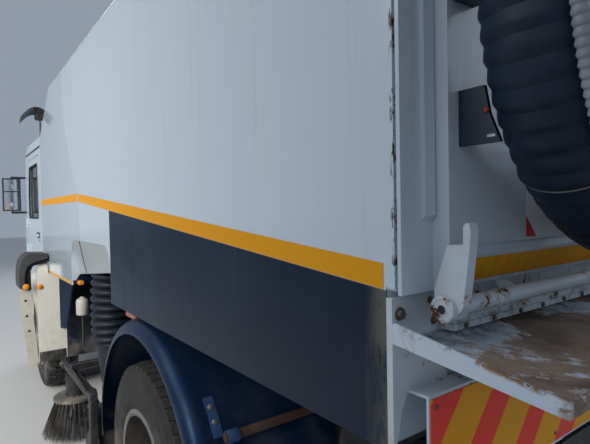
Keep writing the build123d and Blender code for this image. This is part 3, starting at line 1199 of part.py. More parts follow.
def make_cab_front():
    """Grille slats on the nose, lamps, bumper, steps and mirrors."""
    x = CAB_FRONT_X + GAP
    grille = block(x, x + 8.0, -620.0, 620.0, 1110.0, 1470.0)
    for index in range(5):
        z = 1130.0 + index * 70.0
        grille = grille + block(x + 7.0, x + 30.0, -600.0, 600.0, z, z + 34.0)
    save("grille", grille)

    bumper_low = 420.0
    bumper_top = 800.0
    half = CAB_HALF_WIDTH + 20.0
    back = FRONT_X - 320.0
    outline = [
        (back, half), (FRONT_X - 130.0, half), (FRONT_X - 30.0, half - 160.0), (FRONT_X, half - 420.0),
        (FRONT_X, 420.0 - half), (FRONT_X - 30.0, 160.0 - half), (FRONT_X - 130.0, -half), (back, -half),
        (back, 30.0 - half), (FRONT_X - 160.0, 30.0 - half), (FRONT_X - 90.0, 200.0 - half),
        (FRONT_X - 90.0, half - 200.0), (FRONT_X - 160.0, half - 30.0), (back, half - 30.0),
    ]
    bumper = floor_plate(outline, bumper_low, bumper_top)
    lamps = []
    for side in (1, -1):
        y0, y1 = sorted((side * 640.0, side * 1000.0))
        bumper = bumper - block(FRONT_X - 165.0, FRONT_X + 5.0, y0, y1, 560.0, 720.0)
        lamp = block(FRONT_X - 120.0, FRONT_X - 40.0, y0 + GAP, y1 - GAP, 560.0 + GAP, 720.0 - GAP)
        lamps.append(lamp)
    for side in (1, -1):
        y0, y1 = sorted((side * (RAIL_OUTER_Y - 70.0), side * RAIL_OUTER_Y))
        arm = block(RAIL_FRONT_X + GAP, FRONT_X - 89.0, y0, y1, 730.0, 790.0)
        bumper = bumper + arm
    save("front_bumper", bumper)
    save("headlamps", lamps)

    step_x1 = back - GAP
    step_x0 = back - STEP_LENGTH
    outer = CAB_HALF_WIDTH - 10.0
    inner = outer - STEP_DEPTH
    step_top = STEP_LOW_Z + 2 * STEP_RISE + STEP_TREAD
    steps = block(step_x0, step_x1, inner, inner + STEP_SKIN, STEP_LOW_Z, step_top)
    for index in range(3):
        z = STEP_LOW_Z + index * STEP_RISE
        steps = steps + block(step_x0, step_x1, inner, outer, z, z + STEP_TREAD)
    for x in (step_x0, step_x1 - STEP_SKIN):
        steps = steps + block(x, x + STEP_SKIN, inner, outer, STEP_LOW_Z, step_top)
    hanger_x = step_x0 + 100.0
    steps = steps + block(hanger_x, hanger_x + 60.0, RAIL_OUTER_Y + GAP, inner + 5.0, 760.0, 820.0)
    save("steps", both(steps))

    arm_x = CAB_FRONT_X - 130.0
    mirror = block(arm_x - 50.0, arm_x + 50.0, CAB_HALF_WIDTH + 60.0, CAB_HALF_WIDTH + 250.0,
                   1850.0, 2250.0)
    for z in (1830.0, 2260.0):
        mirror = mirror + rod_y(arm_x, CAB_HALF_WIDTH + GAP, CAB_HALF_WIDTH + 160.0, z, 14.0)
    mirror = mirror + rod_z(arm_x, CAB_HALF_WIDTH + 150.0, 1820.0, 2270.0, 12.0)
    save("mirrors", both(mirror))

    beacon = rod_z(CAB_FRONT_X - 900.0, 0, CAB_ROOF_Z + GAP, CAB_ROOF_Z + 40.0, 75.0)
    beacon = beacon + rod_z(CAB_FRONT_X - 900.0, 0, CAB_ROOF_Z + 39.0, CAB_ROOF_Z + 150.0, 62.0)
    save("beacon", beacon)


# Sweeping gear

BRUSH_X = BODY_X + 3500.0
BRUSH_Y = 1140.0
BRUSH_TOP_Z = 300.0
BRUSH_ARM_RADIUS = 30.0
BRUSH_ARM_TOP_Z = BRUSH_TOP_Z + 240.0
BRUSH_ARM_CLEARANCE = 20.0
BRUSH_PLATE_RADIUS = 165.0
BRUSH_RADIUS = 255.0
BRUSH_FOOT = 60.0
BRUSH_LOW_Z = 25.0
ARM_X = BODY_X + 3440.0
ARM_Y = 560.0


def make_side_brush():
    """Left side brush: plate, spread bristles, and the arm it hangs on."""
    plate = rod_z(BRUSH_X, BRUSH_Y, BRUSH_TOP_Z, BRUSH_TOP_Z + 24.0, BRUSH_PLATE_RADIUS)
    ring = [
        (BRUSH_PLATE_RADIUS - 10.0, BRUSH_TOP_Z), (BRUSH_RADIUS, BRUSH_LOW_Z),
        (BRUSH_RADIUS - BRUSH_FOOT, BRUSH_LOW_Z), (BRUSH_PLATE_RADIUS - BRUSH_FOOT - 5.0, BRUSH_TOP_Z),
    ]
    outline = Polyline(*[(BRUSH_X + r, BRUSH_Y, z) for r, z in ring], close=True)
    bristles = revolve(make_face(outline), axis=Axis((BRUSH_X, BRUSH_Y, 0), (0, 0, 1)))
    spindle = 15.0
    brush = plate + bristles + rod_z(BRUSH_X, BRUSH_Y, BRUSH_TOP_Z + 10.0, BRUSH_TOP_Z + 70.0, spindle)
    motor = rod_z(BRUSH_X, BRUSH_Y, BRUSH_TOP_Z + 24.0 + 5.0, BRUSH_TOP_Z + 190.0, 70.0)
    motor = motor - rod_z(BRUSH_X, BRUSH_Y, BRUSH_TOP_Z + 20.0, BRUSH_TOP_Z + 75.0,
                          spindle + BORE_CLEARANCE)
    arm = motor
    arm_z = BRUSH_TOP_Z + 200.0
    arm = arm + rod_between((BRUSH_X, BRUSH_Y, BRUSH_TOP_Z + 170.0),
                            (ARM_X, ARM_Y, BRUSH_ARM_TOP_Z - BRUSH_ARM_RADIUS), BRUSH_ARM_RADIUS)
    arm = arm + rod_z(ARM_X, ARM_Y, arm_z - 70.0, arm_z + 90.0, 45.0)
    pin_radius = 18.0
    arm = arm - rod_z(ARM_X, ARM_Y, arm_z - 80.0, arm_z + 100.0, pin_radius + BORE_CLEARANCE)
    save("side_brush_left", brush)
    save("side_brush_right", across(brush))
    save("side_brush_arm_left", arm)
    save("side_brush_arm_right", across(arm))
    fork = rod_z(ARM_X, ARM_Y, arm_z - 100.0, arm_z + 120.0, pin_radius)
    for z in (arm_z - 100.0, arm_z + 98.0):
        fork = fork + block(ARM_X - 50.0, ARM_X + 50.0, RAIL_OUTER_Y + GAP, ARM_Y + 40.0, z, z + 22.0)
    fork = fork + block(ARM_X - 50.0, ARM_X + 50.0, RAIL_OUTER_Y + GAP, RAIL_OUTER_Y + 16.0,
                        arm_z - 100.0, 900.0)
    hanger = block(BROOM_PIVOT_X - 45.0, BROOM_PIVOT_X + 45.0, RAIL_OUTER_Y + GAP, RAIL_OUTER_Y + 16.0,
                   BROOM_PIVOT_Z - 50.0, 900.0)
    hanger = hanger - rod_y(BROOM_PIVOT_X, 0.0, 500.0, BROOM_PIVOT_Z, BROOM_TUBE + BORE_CLEARANCE)
    save("brush_brackets", both(fork), both(hanger))


def make_suction():
    """Left suction nozzle, its cuff and the corrugated hose up to the hopper."""
    x = HOSE_X
    y = HOSE_Y
    nozzle = side_plate([
        (x - 230.0, 40.0), (x + 260.0, 40.0), (x + 260.0, 160.0), (x + 120.0, 330.0), (x + 120.0, 470.0),
        (x - 120.0, 470.0), (x - 120.0, 330.0), (x - 230.0, 160.0),
    ], y - 330.0, y + 190.0)
    nozzle = nozzle + rod_z(x, y, 460.0, 620.0, HOSE_RADIUS - 24.0)
    nozzle = nozzle - block(x - 200.0, x + 230.0, y - 300.0, y + 160.0, 30.0, 120.0)
    for shift in (-90.0, 90.0):
        foot_y = RAIL_OUTER_Y + GAP
        nozzle = nozzle + rod_between((x + shift, y - 250.0, 430.0),
                                      (x + shift, foot_y + 14.0, 800.0), 20.0)
        nozzle = nozzle + block(x + shift - 40.0, x + shift + 40.0, foot_y, foot_y + 22.0, 750.0, 850.0)
    nozzle = nozzle - block(x - 200.0, x + 200.0, 0.0, RAIL_OUTER_Y + GAP, 700.0, 900.0)
    save("suction_nozzles", both(nozzle))
    z0 = 620.0 + GAP
    z1 = RECESS_TOP_Z - MOVING_GAP
    pitch = 56.0
    count = int((z1 - z0 - 60.0) // pitch)
    hose = rod_z(x, y, z0, z1, HOSE_RADIUS - 24.0)
    for index in range(count):
        z = z0 + 30.0 + index * pitch
        ring = Pos(x, y, z + pitch / 4) * Cylinder(HOSE_RADIUS, pitch / 2)
        hose = hose + ring
    hose = hose - rod_z(x, y, z0 + 20.0, z1 + 1.0, HOSE_RADIUS - 34.0)
    save("suction_hoses", both(hose))


WIDE_BROOM_X = BODY_X + 2900.0
WIDE_BROOM_Z = 225.0
WIDE_BROOM_RADIUS = 200.0
WIDE_BROOM_HALF = 620.0


BROOM_PIVOT_X = BODY_X + 3300.0
BROOM_PIVOT_Z = 560.0
BROOM_SHAFT = 25.0
BROOM_TUBE = 30.0


def make_wide_broom():
    """Cylindrical broom across the chassis on two trailing arms and their cross tube."""
    half = WIDE_BROOM_HALF
    broom = rod_y(WIDE_BROOM_X, -half + 40.0, half - 40.0, WIDE_BROOM_Z, WIDE_BROOM_RADIUS)
    broom = broom + rod_y(WIDE_BROOM_X, -half - 15.0, half + 15.0, WIDE_BROOM_Z, BROOM_SHAFT)
    save("wide_broom", broom)
    arms = rod_y(BROOM_PIVOT_X, -half - 15.0, half + 15.0, BROOM_PIVOT_Z, BROOM_TUBE)
    for side in (1, -1):
        y0, y1 = sorted((side * (half - 15.0), side * (half + 15.0)))
        arm = side_plate([
            (WIDE_BROOM_X - 40.0, WIDE_BROOM_Z - 30.0), (WIDE_BROOM_X + 40.0, WIDE_BROOM_Z - 45.0),
            (BROOM_PIVOT_X + 45.0, BROOM_PIVOT_Z - 35.0), (BROOM_PIVOT_X + 20.0, BROOM_PIVOT_Z + 45.0),
            (BROOM_PIVOT_X - 40.0, BROOM_PIVOT_Z + 30.0), (WIDE_BROOM_X - 45.0, WIDE_BROOM_Z + 40.0),
        ], y0, y1)
        arms = arms + arm
    arms = arms - rod_y(WIDE_BROOM_X, -half - 50.0, half + 50.0, WIDE_BROOM_Z, BROOM_SHAFT + BORE_CLEARANCE)
    save("broom_arms", arms)


def make_rear_lamps():
    """Underrun bar on its hangers, with the lamp clusters on its ends."""
    x = RAIL_REAR_X - TOW_PLATE - GAP
    bar = block(x - 80.0, x - 4.0, -1120.0, 1120.0, 460.0, 570.0)
    for side in (1, -1):
        y0, y1 = sorted((side * (RAIL_OUTER_Y - 90.0), side * (RAIL_OUTER_Y - 20.0)))
        bar = bar + block(x - 40.0, x, y0, y1, 569.0, RAIL_TOP_Z - 30.0)
    save("underrun_bar", bar)
    lamp = block(x - 90.0, x - 50.0, 800.0, 1090.0, 570.0 + GAP, 690.0)
    save("rear_lamps", both(lamp))


def main():
    os.makedirs("parts", exist_ok=True)
    make_wheels()
    make_chassis_frame()
    make_subframe()
    make_axles()
    make_springs()
    make_knuckles()
    make_engine()
    make_tanks()
    make_rear_mudguards()
    make_front_mudguards()
    make_hopper_shell()
    make_hopper_rear()
    make_tipping_frame()
    make_cylinders()
    make_rear_door()
    make_latch()
    make_wander_hose()
    make_canopy()
    make_cab()
    make_cab_doors()
    make_cab_inside()
    make_cab_front()
    make_side_brush()
    make_suction()
    make_wide_broom()
    make_rear_lamps()


main()
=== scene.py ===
import json
import math
import random

import bmesh
import bpy
from mathutils import Matrix, Vector


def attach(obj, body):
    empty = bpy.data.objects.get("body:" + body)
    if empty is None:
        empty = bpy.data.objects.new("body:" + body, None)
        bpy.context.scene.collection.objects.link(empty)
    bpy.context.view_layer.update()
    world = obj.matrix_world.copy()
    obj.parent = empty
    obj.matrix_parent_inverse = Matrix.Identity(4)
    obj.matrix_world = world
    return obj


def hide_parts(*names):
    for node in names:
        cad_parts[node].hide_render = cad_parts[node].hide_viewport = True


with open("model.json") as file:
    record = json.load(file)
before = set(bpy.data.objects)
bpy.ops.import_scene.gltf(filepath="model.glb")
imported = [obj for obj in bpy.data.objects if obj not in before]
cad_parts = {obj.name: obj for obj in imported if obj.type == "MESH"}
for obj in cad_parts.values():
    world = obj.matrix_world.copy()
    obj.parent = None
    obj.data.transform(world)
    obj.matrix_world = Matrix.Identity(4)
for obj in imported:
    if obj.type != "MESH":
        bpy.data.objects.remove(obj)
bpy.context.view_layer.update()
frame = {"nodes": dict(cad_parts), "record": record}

# Metres, +X forward, +Y left, +Z up. XB is the rear edge of the hopper's side.
XB = -2.935
HALF = 1.2
TYRE_RADIUS = 0.522
TYRE_WIDTH = 0.285
REAR_AXLE = (XB + 1.63, TYRE_RADIUS)
FRONT_AXLE = (XB + 4.9, TYRE_RADIUS)
STRIPE_LOW_Z = 1.629
STRIPE_HEIGHT = 0.055
STRIPE_SLOPE = (1.943 - 1.684) / 2.91
PANEL_FRONT = 2.105
TRAY_REAR = XB - 0.3783
TRAY_TOP = 1.566
TRAY_FALL = 0.161
NICHE_REAR = 2.10
NICHE_FRONT = 3.186
NICHE_TOP = 1.610

SIDES = ((1, "left"), (-1, "right"))
# Signs of the corners round a rectangle.
ROUND = ((-1, -1), (1, -1), (1, 1), (-1, 1))
AHEAD = (1, 0, 0)
BACK = (-1, 0, 0)
LEFT = (0, 1, 0)
UP = (0, 0, 1)

# Colours, linear
# The body's white is tinted blue: painted shade, the blue of the shade the body stands in.
WHITE_WITH_BLUE_SHADE = (0.54, 0.63, 0.70)
# The mud panels' white is brightened and warmed: painted sunlight on their rear faces.
SUNLIT_OFF_WHITE = (0.80, 0.77, 0.69)
NAVY = (0.006, 0.015, 0.033)
YELLOW = (0.78, 0.34, 0.004)
TAPE_RED = (0.88, 0.055, 0.034)
AMBER = (0.80, 0.24, 0.012)
BLACK = (0.012, 0.013, 0.015)
SOFT_BLACK = (0.012, 0.012, 0.013)
CHASSIS = (0.011, 0.012, 0.015)
HOSE_BLUE = (0.004, 0.012, 0.028)
RUST = (0.16, 0.055, 0.018)
RUST_DARK = (0.05, 0.018, 0.009)
DUST = (0.30, 0.26, 0.21)
SILVER = (0.55, 0.56, 0.57)

SHADER_INPUTS = {
    "colour": "Base Color", "rough": "Roughness", "metal": "Metallic", "normal": "Normal", "alpha": "Alpha",
    "coat": "Coat Weight", "coat_rough": "Coat Roughness", "specular": "Specular IOR Level",
    "tinge": "Specular Tint",
}


class Shade:
    """One node material; its methods return sockets that feed each other."""

    def __init__(self, name):
        self.mat = bpy.data.materials.new(name)
        self.mat.use_nodes = True
        self.nodes = self.mat.node_tree.nodes
        self.bsdf = self.nodes["Principled BSDF"]
        self.place = self.nodes.new("ShaderNodeTexCoord").outputs["Object"]
        self.x, self.y, self.z = self.node("ShaderNodeSeparateXYZ", {0: self.place}).outputs[:]

    def feed(self, socket, value):
        if isinstance(value, bpy.types.NodeSocket):
            self.mat.node_tree.links.new(value, socket)
        elif isinstance(value, tuple):
            socket.default_value = (value + (1.0,))[:len(socket.default_value)]
        else:
            socket.default_value = value

    def node(self, kind, inputs, **settings):
        made = self.nodes.new(kind)
        for key, value in settings.items():
            setattr(made, key, value)
        for key, value in inputs.items():
            self.feed(made.inputs[key], value)
        return made

    def math(self, operation, a, b=0.0):
        return self.node("ShaderNodeMath", {0: a, 1: b}, operation=operation).outputs[0]

    def fold(self, operation, values):
        result = values[0]
        for value in values[1:]:
            result = self.math(operation, result, value)
        return result

    def add(self, *values):
        return self.fold("ADD", values)

    def times(self, *values):
        return self.fold("MULTIPLY", values)

    def most(self, *values):
        return self.fold("MAXIMUM", values)

    def less(self, a, b):
        return self.math("SUBTRACT", a, b)

    def flip(self, a):
        return self.less(1.0, a)

    def size(self, a):
        return self.math("ABSOLUTE", a)

    def noise(self, scale, detail, rough=0.55, stretch=None, distort=0.0):
        vector = self.place
        if stretch:
            made = self.node("ShaderNodeVectorMath", {0: vector, 1: stretch}, operation="MULTIPLY")
            vector = made.outputs[0]
        inputs = {"Vector": vector, "Scale": scale, "Detail": detail, "Roughness": rough,
                  "Distortion": distort}
        return self.node("ShaderNodeTexNoise", inputs).outputs["Fac"]

    def cells(self, scale, feature="F1"):
        inputs = {"Vector": self.place, "Scale": scale}
        return self.node("ShaderNodeTexVoronoi", inputs, feature=feature).outputs["Distance"]

    def ramp(self, value, low, high, to_low=0.0, to_high=1.0):
        inputs = {"Value": value, "From Min": low, "From Max": high, "To Min": to_low, "To Max": to_high}
        return self.node("ShaderNodeMapRange", inputs, interpolation_type="SMOOTHSTEP").outputs[0]

    def mix(self, mask, a, b):
        made = self.node("ShaderNodeMix", {"Factor": mask, "A": a, "B": b}, data_type="RGBA")
        return made.outputs["Result"]

    def over(self, base, colour, *masks):
        """A colour laid over a base by the product of the masks."""
        return self.mix(self.times(*masks), base, colour)

    def bump(self, height, distance, strength, under=None):
        inputs = {"Height": height, "Distance": distance, "Strength": strength}
        if under is not None:
            inputs["Normal"] = under
        return self.node("ShaderNodeBump", inputs).outputs[0]

    def set(self, **values):
        for key, value in values.items():
            self.feed(self.bsdf.inputs[SHADER_INPUTS[key]], value)
        return self.mat


def dim(colour, share):
    return tuple(c * share for c in colour)


def near(s, value, centre, reach, soft):
    """A mask that is 1 within reach of centre and fades over soft."""
    return s.ramp(s.size(s.less(value, centre)), reach + soft, reach)


def grime(s, colour, amount, top=1.3):
    """Dust that gathers low down and in soft patches: the dusted colour and the dust's mask."""
    mask = s.times(s.ramp(s.z, top, 0.1), s.ramp(s.noise(5.0, 5.0, 0.65), 0.42, 0.72), amount)
    return s.mix(mask, colour, DUST), mask


def dusted(s, colour, dust, top, rough, gain, normal, **more):
    """Finish a material under dust that makes it rougher by gain."""
    tint, dirt = grime(s, colour, dust, top)
    return s.set(colour=tint, rough=s.add(rough, s.times(dirt, gain)), normal=normal, **more)


def niche(s):
    """Inside of the hose niche and the body's underside, darkened to navy as painted shade: 1 there, 0 on
    the outer sides.
    """
    out = s.size(s.y)
    run = s.less(s.x, XB)
    rear = s.ramp(run, NICHE_REAR - 0.02, NICHE_REAR)
    front = s.ramp(run, NICHE_FRONT + 0.004, NICHE_FRONT)
    low = s.ramp(s.z, NICHE_TOP + 0.004, NICHE_TOP)
    slant = s.add(out, s.times(s.less(s.z, 1.262), 0.68))
    under = s.times(s.ramp(s.z, 1.300, 1.296), s.ramp(out, 1.192, 1.189))
    return s.most(s.times(rear, front, low, s.ramp(slant, 1.197, 1.194)), under)


def inboard(s):
    """The inner part of the mud panels and the arches' undersides, darkened to navy: partly their black
    plastic, partly painted shade under the arches.
    """
    return s.ramp(s.size(s.y), 1.066, 1.062)


def paint(name, colour, rough, coat, dust, streaks=0.25, chips=0.0, specks=1.0, dark=None,
          tinge=(1.0, 1.0, 1.0)):
    """Gloss vehicle paint: orange peel, faint cloudiness, rain streaks, dust and chips."""
    s = Shade(name)
    tint = s.over(colour, dim(colour, 0.86), s.ramp(s.noise(1.7, 3.0), 0.3, 0.75), 0.35)
    streak = s.ramp(s.noise(1.0, 4.0, 0.6, (26.0, 26.0, 1.1)), 0.55, 0.8)
    tint = s.over(tint, tuple(0.55 * c + 0.45 * d for c, d in zip(colour, DUST)), streak, streaks)
    tint = s.over(tint, DUST, s.ramp(s.noise(160.0, 2.0), 0.72, 0.78), 0.35 * specks)
    if dark:
        tint = s.mix(dark(s), tint, NAVY)
    tint, dirt = grime(s, tint, dust)
    rough = s.add(rough, s.times(s.most(dirt, s.times(streak, 0.5)), 0.35))
    if chips:
        chip = s.ramp(s.noise(34.0, 5.0, 0.7), 0.72 - 0.05 * chips, 0.74 - 0.05 * chips)
        tint = s.mix(chip, tint, RUST)
        rough = s.mix(chip, rough, (0.85, 0.85, 0.85))
    normal = s.bump(s.noise(420.0, 2.0), 0.0006, 0.12, s.bump(s.noise(2.2, 1.0), 0.02, 0.10))
    return s.set(colour=tint, rough=rough, coat=coat, coat_rough=0.05, tinge=tinge, normal=normal)


def rough_black(name, colour=CHASSIS, rough=0.5, dust=0.35):
    """Chassis paint: satin black under road dust with rust where it has chipped."""
    s = Shade(name)
    cloud = s.noise(9.0, 5.0, 0.65)
    tint = s.mix(s.ramp(cloud, 0.35, 0.7), colour, dim(colour, 1.9))
    tint = s.over(tint, RUST, s.ramp(s.noise(23.0, 6.0, 0.72), 0.62, 0.72), 0.55)
    return s.set(colour=grime(s, tint, dust, 1.5)[0],
                 rough=s.ramp(cloud, 0.2, 0.8, rough - 0.12, rough + 0.2),
                 normal=s.bump(s.noise(140.0, 4.0), 0.0015, 0.35))


def moulded(name, colour, rough, dust=0.6):
    """Grained plastic, paler where it is scuffed."""
    s = Shade(name)
    pale = tuple(min(1.0, c * 1.35 + 0.01) for c in colour)
    tint = s.mix(s.ramp(s.noise(6.0, 4.0), 0.35, 0.7), colour, pale)
    return dusted(s, tint, dust, 1.4, rough, 0.3, s.bump(s.cells(260.0), 0.0012, 0.35))


def rubber(name, colour, rough=0.75, dust=0.9, specular=0.4):
    """Matt rubber or cloth with mottled dust."""
    s = Shade(name)
    mottle = s.ramp(s.noise(14.0, 5.0, 0.65), 0.35, 0.75)
    tint = s.over(colour, tuple(c * 2.2 + 0.006 for c in colour), mottle, 0.5)
    normal = s.bump(s.noise(220.0, 3.0), 0.001, 0.4)
    return dusted(s, tint, dust, 1.2, rough, 0.15, normal, specular=specular)


def metal(name, colour=SILVER, rough=0.38, stain=0.5):
    """Brushed metal with rusty stains."""
    s = Shade(name)
    patch = s.ramp(s.noise(11.0, 6.0, 0.7), 0.55, 0.72)
    tint, dirt = grime(s, s.over(colour, RUST, patch, stain), 0.6, 1.2)
    return s.set(colour=tint, rough=s.add(rough, s.times(patch, 0.3)),
                 metal=s.less(0.95, s.times(s.most(patch, dirt), 0.8)),
                 normal=s.bump(s.noise(40.0, 3.0, stretch=(1.0, 1.0, 8.0)), 0.0008, 0.25))


def lens(name, colour):
    """Moulded lamp lens with its fine prisms."""
    s = Shade(name)
    prism = s.math("SINE", s.times(s.add(s.y, s.x), 900.0))
    rows = s.math("SINE", s.times(s.z, 700.0))
    tint = s.mix(s.ramp(prism, -1.0, 1.0, 0.0, 0.25), colour, dim(colour, 0.45))
    return dusted(s, tint, 0.35, 1.5, 0.12, 0.4, s.bump(s.times(prism, rows), 0.0012, 0.4), coat=0.6)


def glass(name):
    """Tinted glass under a thin, uneven film."""
    s = Shade(name)
    haze = s.ramp(s.noise(2.5, 4.0), 0.35, 0.8, 0.03, 0.10)
    film = s.ramp(s.noise(60.0, 3.0), 0.5, 0.9, 0.0, 0.04)
    return s.set(colour=s.mix(film, (0.05, 0.07, 0.075), DUST), rough=haze,
                 alpha=s.add(0.46, s.times(haze, 1.2)), coat=1.0)


def stripes(name, first, second, run, slope, offset, dust, share=0.5):
    """Slanting bands of reflective sheet with its fine cell pattern."""
    s = Shade(name)
    phase = s.math("FRACT", s.times(s.add(s.size(s.y), s.times(s.z, slope), offset), 1.0 / run))
    band = s.ramp(s.size(s.less(phase, 0.5)), share / 2 - 0.004, share / 2 + 0.004)
    seam = s.ramp(s.cells(380.0, "DISTANCE_TO_EDGE"), 0.06, 0.0, 0.0, 0.12)
    tint = s.mix(seam, s.mix(band, first, second), dim(DUST, 0.3))
    tint = s.over(tint, dim(DUST, 0.5), s.ramp(s.noise(18.0, 6.0, 0.7), 0.69, 0.75), 0.5)
    return dusted(s, tint, dust, 1.9, 0.42, 0.4, s.bump(s.noise(500.0, 1.0), 0.0004, 0.2), specular=0.14)


def hopper_paint():
    """Body white with the slate lower panel, its wear and streaks, and rust at the rear seam."""
    s = Shade("hopper_paint")
    out = s.size(s.y)
    run = s.less(s.x, XB)
    tint = s.over(WHITE_WITH_BLUE_SHADE, dim(WHITE_WITH_BLUE_SHADE, 0.88), s.ramp(s.noise(1.3, 3.0), 0.3, 0.75), 0.3)
    streak = s.ramp(s.noise(1.0, 4.0, 0.6, (22.0, 22.0, 0.8)), 0.56, 0.8)
    tint = s.over(tint, DUST, streak, 0.16)
    # The slate panel lies below the tape, on the sides only.
    below = s.ramp(s.less(s.add(STRIPE_LOW_Z, s.times(run, STRIPE_SLOPE)), s.z), 0.0, 0.002)
    behind = s.ramp(s.less(PANEL_FRONT, run), 0.0, 0.002)
    panel = s.times(s.ramp(out, HALF - 0.006, HALF - 0.003), below, behind)
    slate = s.over(NAVY, (0.011, 0.029, 0.058), s.ramp(s.noise(3.0, 5.0, 0.6), 0.3, 0.75), 0.7)
    scratch = s.ramp(s.noise(1.0, 5.0, 0.7, (60.0, 60.0, 0.7)), 0.56, 0.86)
    slate = s.over(slate, (0.09, 0.135, 0.19), scratch, 0.5)
    worn = s.ramp(s.noise(7.0, 5.0, 0.7, (3.0, 1.0, 1.0)), 0.3, 0.6)
    slate = s.over(slate, (0.22, 0.20, 0.16), s.ramp(run, 0.075, 0.0), worn, 0.5)
    slate = s.over(slate, (0.30, 0.33, 0.36), s.ramp(s.noise(30.0, 6.0, 0.75), 0.73, 0.77), 0.35)
    # Painted shade: the niche's inside and the body's underside darken to navy.
    tint = s.mix(niche(s), s.mix(panel, tint, slate), NAVY)
    # Rust creeps out of the seam between the body and its rear rim.
    seam = s.ramp(s.size(s.less(s.x, XB - 0.026)), 0.013, 0.004)
    spots = s.ramp(s.noise(26.0, 6.0, 0.75, (2.0, 1.0, 0.6)), 0.49, 0.57)
    tint = s.over(tint, RUST_DARK, seam, s.ramp(out, HALF - 0.035, HALF - 0.020), spots)
    tint, dirt = grime(s, tint, 0.5)
    rough = s.add(s.ramp(panel, 0.0, 1.0, 0.13, 0.34), s.times(s.most(dirt, s.times(streak, 0.4)), 0.35))
    return s.set(colour=tint, rough=rough, coat=s.ramp(panel, 0.0, 1.0, 0.55, 0.03), coat_rough=0.05,
                 specular=s.ramp(panel, 0.0, 1.0, 0.5, 0.14),
                 normal=s.bump(s.noise(420.0, 2.0), 0.0006, 0.12, s.bump(s.noise(2.0, 1.0), 0.02, 0.12)))


def tray_paint():
    """Worn brown sheet between the white side bands and rear lip, which keep most of their paint."""
    s = Shade("tray_paint")
    fine = s.noise(24.0, 6.0, 0.75)
    wear = s.add(s.noise(3.2, 6.0, 0.68, distort=0.6), s.times(fine, 0.35))
    band = s.ramp(s.size(s.y), HALF - 0.014, HALF - 0.009)
    lip = s.ramp(s.x, TRAY_REAR + 0.010, TRAY_REAR + 0.004)
    sheet = s.flip(s.most(band, lip))
    blot = s.noise(11.0, 6.0, 0.75, (1.0, 1.0, 2.2))
    corner = s.ramp(s.x, TRAY_REAR + 0.10, TRAY_REAR + 0.01, 0.0, 0.10)
    spots = s.ramp(s.add(blot, corner), 0.63, 0.67)
    bare = s.most(s.times(s.ramp(wear, 0.645, 0.675), sheet), s.times(spots, 0.85))
    brown = s.mix(fine, (0.15, 0.10, 0.068), (0.36, 0.27, 0.20))
    brown = s.mix(s.ramp(s.noise(7.0, 5.0), 0.5, 0.7, 0.0, 0.6), brown, RUST_DARK)
    # The bands' white is tinted blue: painted shade, as on the body.
    tint = s.mix(bare, (0.52, 0.60, 0.69), brown)
    tint = s.over(tint, (0.36, 0.17, 0.05), s.ramp(wear, 0.615, 0.65), sheet, s.times(s.flip(bare), 0.6))
    # Near-black towards the hopper's end of the sheet, under the latch shaft and the door's foot.
    dirt = s.times(sheet, s.ramp(s.x, XB - 0.15, XB - 0.06), s.ramp(fine, 0.30, 0.62))
    tint = s.over(tint, (0.016, 0.014, 0.013), dirt, 0.85)
    # The bands have chipped along their top edge, and are smeared at both ends.
    top = s.add(s.times(s.x, TRAY_FALL), TRAY_TOP - XB * TRAY_FALL)
    ragged = s.add(s.noise(7.0, 8.0, 0.85), s.times(near(s, s.x, XB - 0.245, 0.02, 0.09), 0.09))
    chipped = s.times(s.ramp(s.less(top, s.z), 0.013, 0.004), s.ramp(ragged, 0.56, 0.60))
    smears = s.most(near(s, s.x, XB - 0.055, 0.004, 0.022), near(s, s.x, TRAY_REAR + 0.010, 0.008, 0.026))
    smears = s.times(smears, 0.75, s.ramp(fine, 0.40, 0.58))
    worn = s.mix(fine, (0.09, 0.045, 0.02), (0.34, 0.18, 0.08))
    tint = s.over(tint, worn, s.most(chipped, smears), s.flip(sheet))
    height = s.add(s.times(bare, -0.5), s.times(fine, 0.5))
    return s.set(colour=tint, rough=s.add(0.35, s.times(bare, 0.45)), normal=s.bump(height, 0.002, 0.6))


def old_white(name, rust=1.0, clean_above=9.0):
    """White paint on thick steel: dull, chipped to rust, but whole above a height."""
    s = Shade(name)
    cloud = s.ramp(s.noise(6.0, 4.0), 0.3, 0.75)
    # The white's blue tint is painted shade, as on the body.
    tint = s.over((0.55, 0.62, 0.69), (0.44, 0.48, 0.50), cloud, 0.6)
    kept = s.ramp(s.z, clean_above - 0.01, clean_above + 0.03, 0.0, 0.11)
    big = s.less(s.noise(9.0, 6.0, 0.75, distort=0.4), kept)
    chip = s.ramp(big, 0.665 - 0.06 * rust, 0.685 - 0.06 * rust)
    tint = s.over(tint, (0.40, 0.24, 0.10), s.ramp(big, 0.62 - 0.06 * rust, 0.67 - 0.06 * rust), 0.45)
    tint = s.mix(chip, tint, s.mix(s.noise(40.0, 3.0), RUST_DARK, RUST))
    tint, dirt = grime(s, tint, 0.6, 1.7)
    crust = s.times(near(s, s.z, 1.540, 0.008, 0.022), s.ramp(s.noise(30.0, 6.0, 0.75), 0.48, 0.62))
    tint = s.over(tint, (0.06, 0.05, 0.042), crust, s.ramp(s.size(s.y), 1.06, 1.05), 0.6)
    normal = s.bump(s.add(s.times(chip, -0.6), s.times(s.noise(120.0, 3.0), 0.4)), 0.0012, 0.5)
    return s.set(colour=tint, rough=s.add(0.35, s.times(s.most(chip, dirt), 0.4)), normal=normal)


